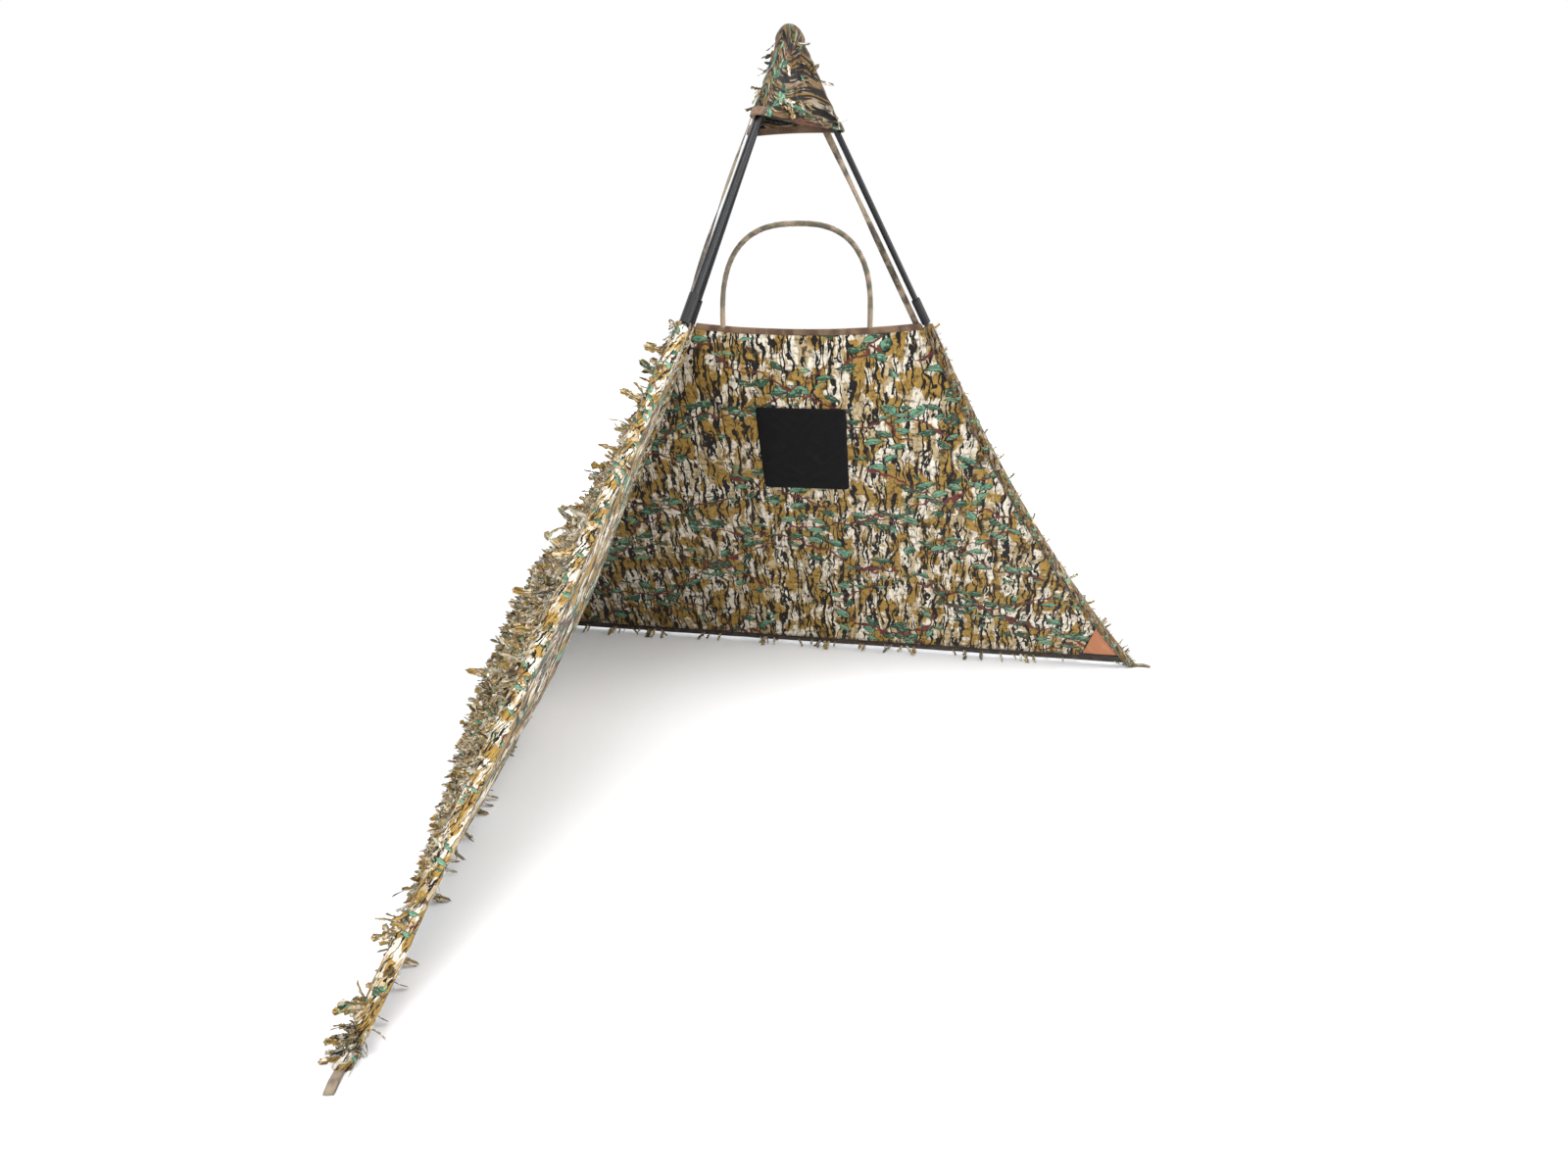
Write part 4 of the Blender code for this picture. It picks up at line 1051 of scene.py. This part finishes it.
def hood_height(up):
    """Heights on the hood by the share of the way up its side and over its dome."""
    rise = 0.84
    wall_part = between(HOOD_LOW_Z, HOOD_SHOULDER_Z, np.clip(up / rise, 0, 1))
    dome = np.sin(np.clip((up - rise) / (1 - rise), 0, 1) * math.pi / 2)
    return wall_part + (HOOD_TOP_Z - HOOD_SHOULDER_Z) * dome


def hood_print(around, up):
    """Print coordinates on the hood, with the bark's columns lying round it."""
    lean = 0.012 * np.sin(around * 31) + 0.10 * around
    return np.stack((up * 0.17 + lean, around * 0.42), axis=-1) * 1.1 + (1.7, 0.9)


def hood_edge(side, label, first, last, material):
    """Length of the hood's lower edge, bound with tape or folded cloth."""

    def place(across, up):
        height = HOOD_LOW_Z + HEM_LAP - (HOOD_HEM + HEM_LAP) * (1 - up)
        return hood_point(between(first, last, across), height, 0.0026 + 0.0006 * np.sin(math.pi * up))

    def cloth(across, up):
        if material is HOOD_CLOTH:
            return hood_print(between(first, last, across), (up - 1) * 0.09)
        return np.stack((across * 0.45 * (last - first), up * HOOD_HEM), axis=-1)

    def follow(across, up):
        return hood_share(between(first, last, across), np.full_like(across, HOOD_LOW_Z))

    name = f"{side}_hood_{label}"
    made = surface(name, (56, 4), place, cloth, material, follow, thickness=HOOD_EDGE_THICK)
    return hang(made, side)


def make_hood(side):
    """Half of the leafy cloth cover over the hub, gathered at the top, each point holding its share of the
    turn of the pole beside it.
    """
    first, last = HOOD_HALVES[side]

    def place(across, up):
        points = hood_point(between(first, last, across), hood_height(up))
        axis = points - MIDDLE
        axis[:, 2] = 0
        way = axis / np.clip(np.linalg.norm(axis, axis=1, keepdims=True), 0.004, None)
        wrinkle = ripple(points * (1, 1, 1.8), 0.028, 3.0) * 0.0035 + ripple(points, 0.011, 8.0) * 0.001
        return points + way * column(wrinkle * np.clip(up * 5, 0.05, 1) * np.clip((1 - up) * 8, 0, 1))

    def cloth(across, up):
        return hood_print(between(first, last, across), up)

    def follow(across, up):
        return hood_share(between(first, last, across), hood_height(up))

    name = f"{side}_hood_cloth"
    made = surface(name, (78, 56), place, cloth, HOOD_CLOTH, follow, closed=True, thickness=HOOD_THICK)
    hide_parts("hood")
    hang(made, side)
    ends = (first, FRONT_START, last) if side == "left" else (last, 1.0, first)
    hem = hood_edge(side, "hem_tape", ends[0], ends[1], BINDING)
    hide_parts("hood_hem")
    hood_edge(side, "front_edge", ends[1], ends[2], HOOD_CLOTH)

    flat, hanging = 15, 11
    spots = np.where(TAIL_SPOTS[:, :1] < first % 1, TAIL_SPOTS + (1, 0), TAIL_SPOTS)
    spots = spots[(spots[:, 0] > first) & (spots[:, 0] < last)]
    tails, front = len(spots), sorted((ends[1], ends[2]))
    around = np.concatenate((RNG.uniform(first, last, flat), RNG.uniform(*front, hanging), spots[:, 0]))
    up = np.concatenate((RNG.random(flat), RNG.uniform(0.02, 0.25, hanging), spots[:, 1]))
    lift = np.concatenate((RNG.uniform(0.02, 0.2, flat), RNG.uniform(0.0, 0.2, hanging), np.full(tails, 0.9)))
    count = len(around)
    turn = RNG.normal(0, 0.7, count)
    sizes = np.concatenate((RNG.uniform(0.016, 0.030, flat + hanging), RNG.uniform(0.020, 0.028, tails)))
    height = between(HOOD_LOW_Z, HOOD_SHOULDER_Z, up)
    bases = hood_point(around, height, 0.001)
    outs = unit(hood_point(around, height, 0.01) - bases + UP * 0.004)
    tangents = unit(np.cross(UP, outs))
    downs = unit(-UP + outs * 0.45)
    tips = column(np.cos(turn)) * downs + column(np.sin(turn)) * tangents
    tips = column(np.cos(lift)) * tips + column(np.sin(lift)) * outs
    shares = hood_share(around, height)
    flaps = scatter(f"{side}_hood_leaves", bases, tips, outs, sizes, shares, FLAP_CLOTH, tones=(0.72, 0.98))
    hang(flaps, side)


def make_strap(leg):
    """Flat webbing from under the hood to the top of the wall, a little slack and twisted."""
    low, high = (np.array(corner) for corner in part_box(f"{leg}_strap"))
    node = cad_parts[f"{leg}_strap"]
    corners = np.array([vert.co for vert in node.data.vertices])
    end_length = 0.02
    top = corners[corners[:, 2] > high[2] - end_length].mean(axis=0)
    foot = corners[corners[:, 2] < low[2] + end_length].mean(axis=0)
    way = unit(foot - top)
    face = OUT["corner"] if leg == "corner" else WALL_OUT[leg]
    side_way = unit(np.cross(way, face))
    out_way = np.cross(side_way, way)
    lean = STRAP_LEAN.get(leg, 0.0)

    def place(across, along):
        bow = np.sin(math.pi * along)
        points = top + column(along) * (foot - top) + column(0.003 * bow) * out_way
        turn = 0.5 * np.sin(along * math.tau * 1.1) * bow + lean * bow**0.3
        arm = column(np.cos(turn)) * side_way + column(np.sin(turn)) * out_way
        return points + column((across - 0.5) * WEBBING_WIDTH) * arm

    def cloth(across, along):
        return np.stack((along * np.linalg.norm(foot - top), across * WEBBING_WIDTH), axis=-1)

    made = surface(f"{leg}_strap_webbing", (6, 60), place, cloth, STRAP_CLOTH, thickness=WEBBING_THICK)
    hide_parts(f"{leg}_strap")
    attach(made, LEG_BODY[leg])
    if leg in SIDES:
        centre = (top + foot) / 2
        pole, down = pole_at(leg, centre[2])
        off = centre - pole
        off = off - down * dot(off, down)
        tuple(pole + unit(off) * (POLE_R + 0.002))
        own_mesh(made)


def make_stake_loop(leg):
    """Webbing loop at the foot, pressed flat: one layer out, a fold, and one layer back over it."""
    low, high = (np.array(corner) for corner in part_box(f"{leg}_stake_loop"))
    middle = (low + high) / 2 * (1, 1, 0)
    foot = pole_at(leg, np.array([0.0]))[0][0]
    way = unit((middle - foot) * (1, 1, 0))
    side_way = np.cross(UP, way)
    length, lower, fold = 0.036, 0.0018, 0.0016
    heel = middle - way * 0.0265

    def place(across, along):
        turn = np.clip((along - 0.45) * 10, 0, 1) * math.pi
        out = length * np.minimum(np.minimum(along / 0.45, (1 - along) / 0.45), 1) + fold * np.sin(turn)
        arch = 0.0022 * np.sin(math.pi * np.clip((along - 0.55) / 0.45, 0, 1))
        height = lower + fold * (1 - np.cos(turn)) + arch
        points = heel + column(out) * way + column((across - 0.5) * WEBBING_WIDTH) * side_way
        return points + column(height + 0.0006 * np.sin(9 * along) * across) * UP

    def cloth(across, along):
        return np.stack((along * 2 * length, across * WEBBING_WIDTH), axis=-1)

    made = surface(f"{leg}_stake_webbing", (6, 60), place, cloth, WEBBING, thickness=WEBBING_THICK)
    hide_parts(f"{leg}_stake_loop")
    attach(made, LEG_BODY[leg])


def make_pocket(side):
    """Three-cornered tan pocket in the lower front corner, with a black strip along its foot."""
    width, rise, strip_rise = 0.110, 0.110, 0.012
    start, end = (point[0] for point in wall_row(side, np.array([LINING_LOW_Z])))
    share = width / np.linalg.norm(end - start)

    def place(across, up):
        height = LINING_LOW_Z + 0.001 + rise * up
        lift = -0.0024 - 0.004 * np.sin(math.pi * across) * np.sin(math.pi * np.clip(up, 0, 1)) - 0.0012
        return wall(side, follow(across, up), height, lift)

    def cloth(across, up):
        return np.stack((across * width * (1 - up), up * rise), axis=-1)

    def follow(across, up):
        return 1 - share * (1 - across) * (1 - up)

    name = f"{side}_pocket_cloth"
    made = surface(name, (22, 22), place, cloth, POCKET, follow, closed=True, thickness=POCKET_THICK)
    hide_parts(f"{side}_corner_pocket")

    def strip_place(across, up):
        return wall(side, strip_follow(across, up), LINING_LOW_Z + strip_rise * up, -0.0052)

    def strip_cloth(across, up):
        return np.stack((across * width, up * strip_rise), axis=-1)

    def strip_follow(across, up):
        return 1 - share * (1 - across)

    name = f"{side}_pocket_strip"
    strip = surface(name, (24, 3), strip_place, strip_cloth, STRIP, strip_follow, thickness=POCKET_THICK)
    hang(made, side)
    hang(strip, side)


def make_patch():
    """Plain black square sewn to the right wall's inner face."""
    slant = np.linalg.norm(wall("right", 0.5, LINING_HIGH_Z) - wall("right", 0.5, LINING_LOW_Z))
    rise = (LINING_HIGH_Z - LINING_LOW_Z) / slant
    width, height, drop, corner = 0.230, 0.260, 0.218, 0.012

    def spot(across, up):
        level = WALL_TOP_Z - (drop + height * (1 - up)) * rise
        start, end = wall_row("right", level)
        length = np.linalg.norm(end - start, axis=-1)
        x, y = (across - 0.5) * width, (up - 0.5) * height
        over_x, over_y = np.abs(x) - (width / 2 - corner), np.abs(y) - (height / 2 - corner)
        both = (over_x > 0) & (over_y > 0)
        shrink = np.where(both, corner / np.maximum(np.hypot(over_x, over_y), corner), 1.0)
        x = np.where(both, np.sign(x) * (width / 2 - corner + over_x * shrink), x)
        level = np.where(both, level + np.sign(y) * (over_y * shrink - over_y) * rise, level)
        return 0.5 + (x - CENTRE_SHIFT) / length, level

    def place(across, up):
        share, level = spot(across, up)
        flat = np.column_stack((across * width, up * height, np.zeros_like(across)))
        folds = ripple(flat @ np.array([[0.7, 0.2, 0], [-0.7, 0.2, 0], [0, 0, 1]]), 0.016, 2.0) * 0.0012
        held = np.clip(np.minimum(from_ends(across), from_ends(up)) * 12, 0, 1)
        return wall("right", share, level, -0.0028 - (0.0016 + folds) * held)

    def cloth(across, up):
        return np.stack((across * width, up * height), axis=-1)

    def follow(across, up):
        return spot(across, up)[0]

    made = surface("label_patch_cloth", (46, 52), place, cloth, PATCH, follow, thickness=PATCH_THICK)
    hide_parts("label_patch")
    hang(made, "right")


def make_hoop():
    """Stiff arch in a cloth tube, standing on the right wall's top hem."""
    start, end = (point[0] for point in wall_row("right", np.array([WALL_TOP_Z])))
    length = np.linalg.norm(end - start)
    way = (end - start) / length
    low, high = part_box("carry_hoop")
    legs, squareness, width, sunk, foot_share = 0.020, 2.6, 0.350, 0.006, 0.03
    middle = start + way * (length / 2 - CENTRE_SHIFT)
    rise = high[2] - low[2] - legs - 0.0065

    def spots(along):
        turn = math.pi * (1 - np.clip((along - foot_share) / (1 - 2 * foot_share), 0, 1))
        across = np.sign(np.cos(turn)) * np.abs(np.cos(turn)) ** (2 / squareness) * width / 2
        climb = legs + rise * np.abs(np.sin(turn)) ** (2 / squareness)
        foot = np.clip(from_ends(along) / foot_share, 0, 1)
        climb = np.where(foot < 1, (legs + sunk) * foot - sunk, climb)
        return across, climb

    def path(along):
        step = 0.002
        ends = [np.clip(along + shift, 0, 1) for shift in (-step, 0, step)]
        points = []
        for spot in ends:
            across, climb = spots(spot)
            points.append(middle + column(across) * way + column(low[2] - WALL_TOP_Z + climb) * UP)
        return points[1], unit(points[2] - points[0])

    def radius(around, along):
        ridges = ripple(np.column_stack((around * 3, along * 60, np.zeros_like(along))), 1.0, 3.0)
        return 0.0060 + 0.0005 * ridges

    def follow(along):
        return 0.5 + (spots(along)[0] - CENTRE_SHIFT) / length

    made = sweep("hoop_tube", path, radius, (18, 220), TUBE_CLOTH, follow, hint=WALL_OUT["right"])
    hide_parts("carry_hoop")
    hang(made, "right")


def paint_nodes():
    """Finishes for the rigid pieces kept from the part."""
    finishes = {"hub": MOULDING, "knuckle": MOULDING, "collar": MOULDING, "pin": STEEL, "foot": RUBBER}
    finishes["pole_lower"] = POLE_SKIN
    for name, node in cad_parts.items():
        for part, material in finishes.items():
            if part in name:
                node.data.materials.clear()
                node.data.materials.append(material)


place_camera()
hang_lamps()
make_sky()
make_floor()
paint_nodes()
for side_name in SIDES:
    lining = make_lining(side_name)
    leaf_cloth, leaf_flaps = make_leaf_layer(side_name)
    top = make_hem(side_name, "top_hem", WALL_TOP_Z - TOP_HEM, WALL_TOP_Z, TOP_HEM_HALF, BINDING)
    hem_top = HEM_CLEAR + BOTTOM_HEM
    bottom = make_hem(side_name, "bottom_hem", HEM_CLEAR, hem_top, BOTTOM_HEM_HALF, HEM_BINDING)
    fringe = hem_fringe(side_name)
    make_pocket(side_name)
for leg_name in LEGS:
    make_sleeve(leg_name)
    make_upper_pole(leg_name)
    make_strap(leg_name)
    make_stake_loop(leg_name)
for side_name in SIDES:
    make_hood(side_name)
make_patch()
make_hoop()

view = bpy.context.scene.view_settings
view.view_transform = "Standard"
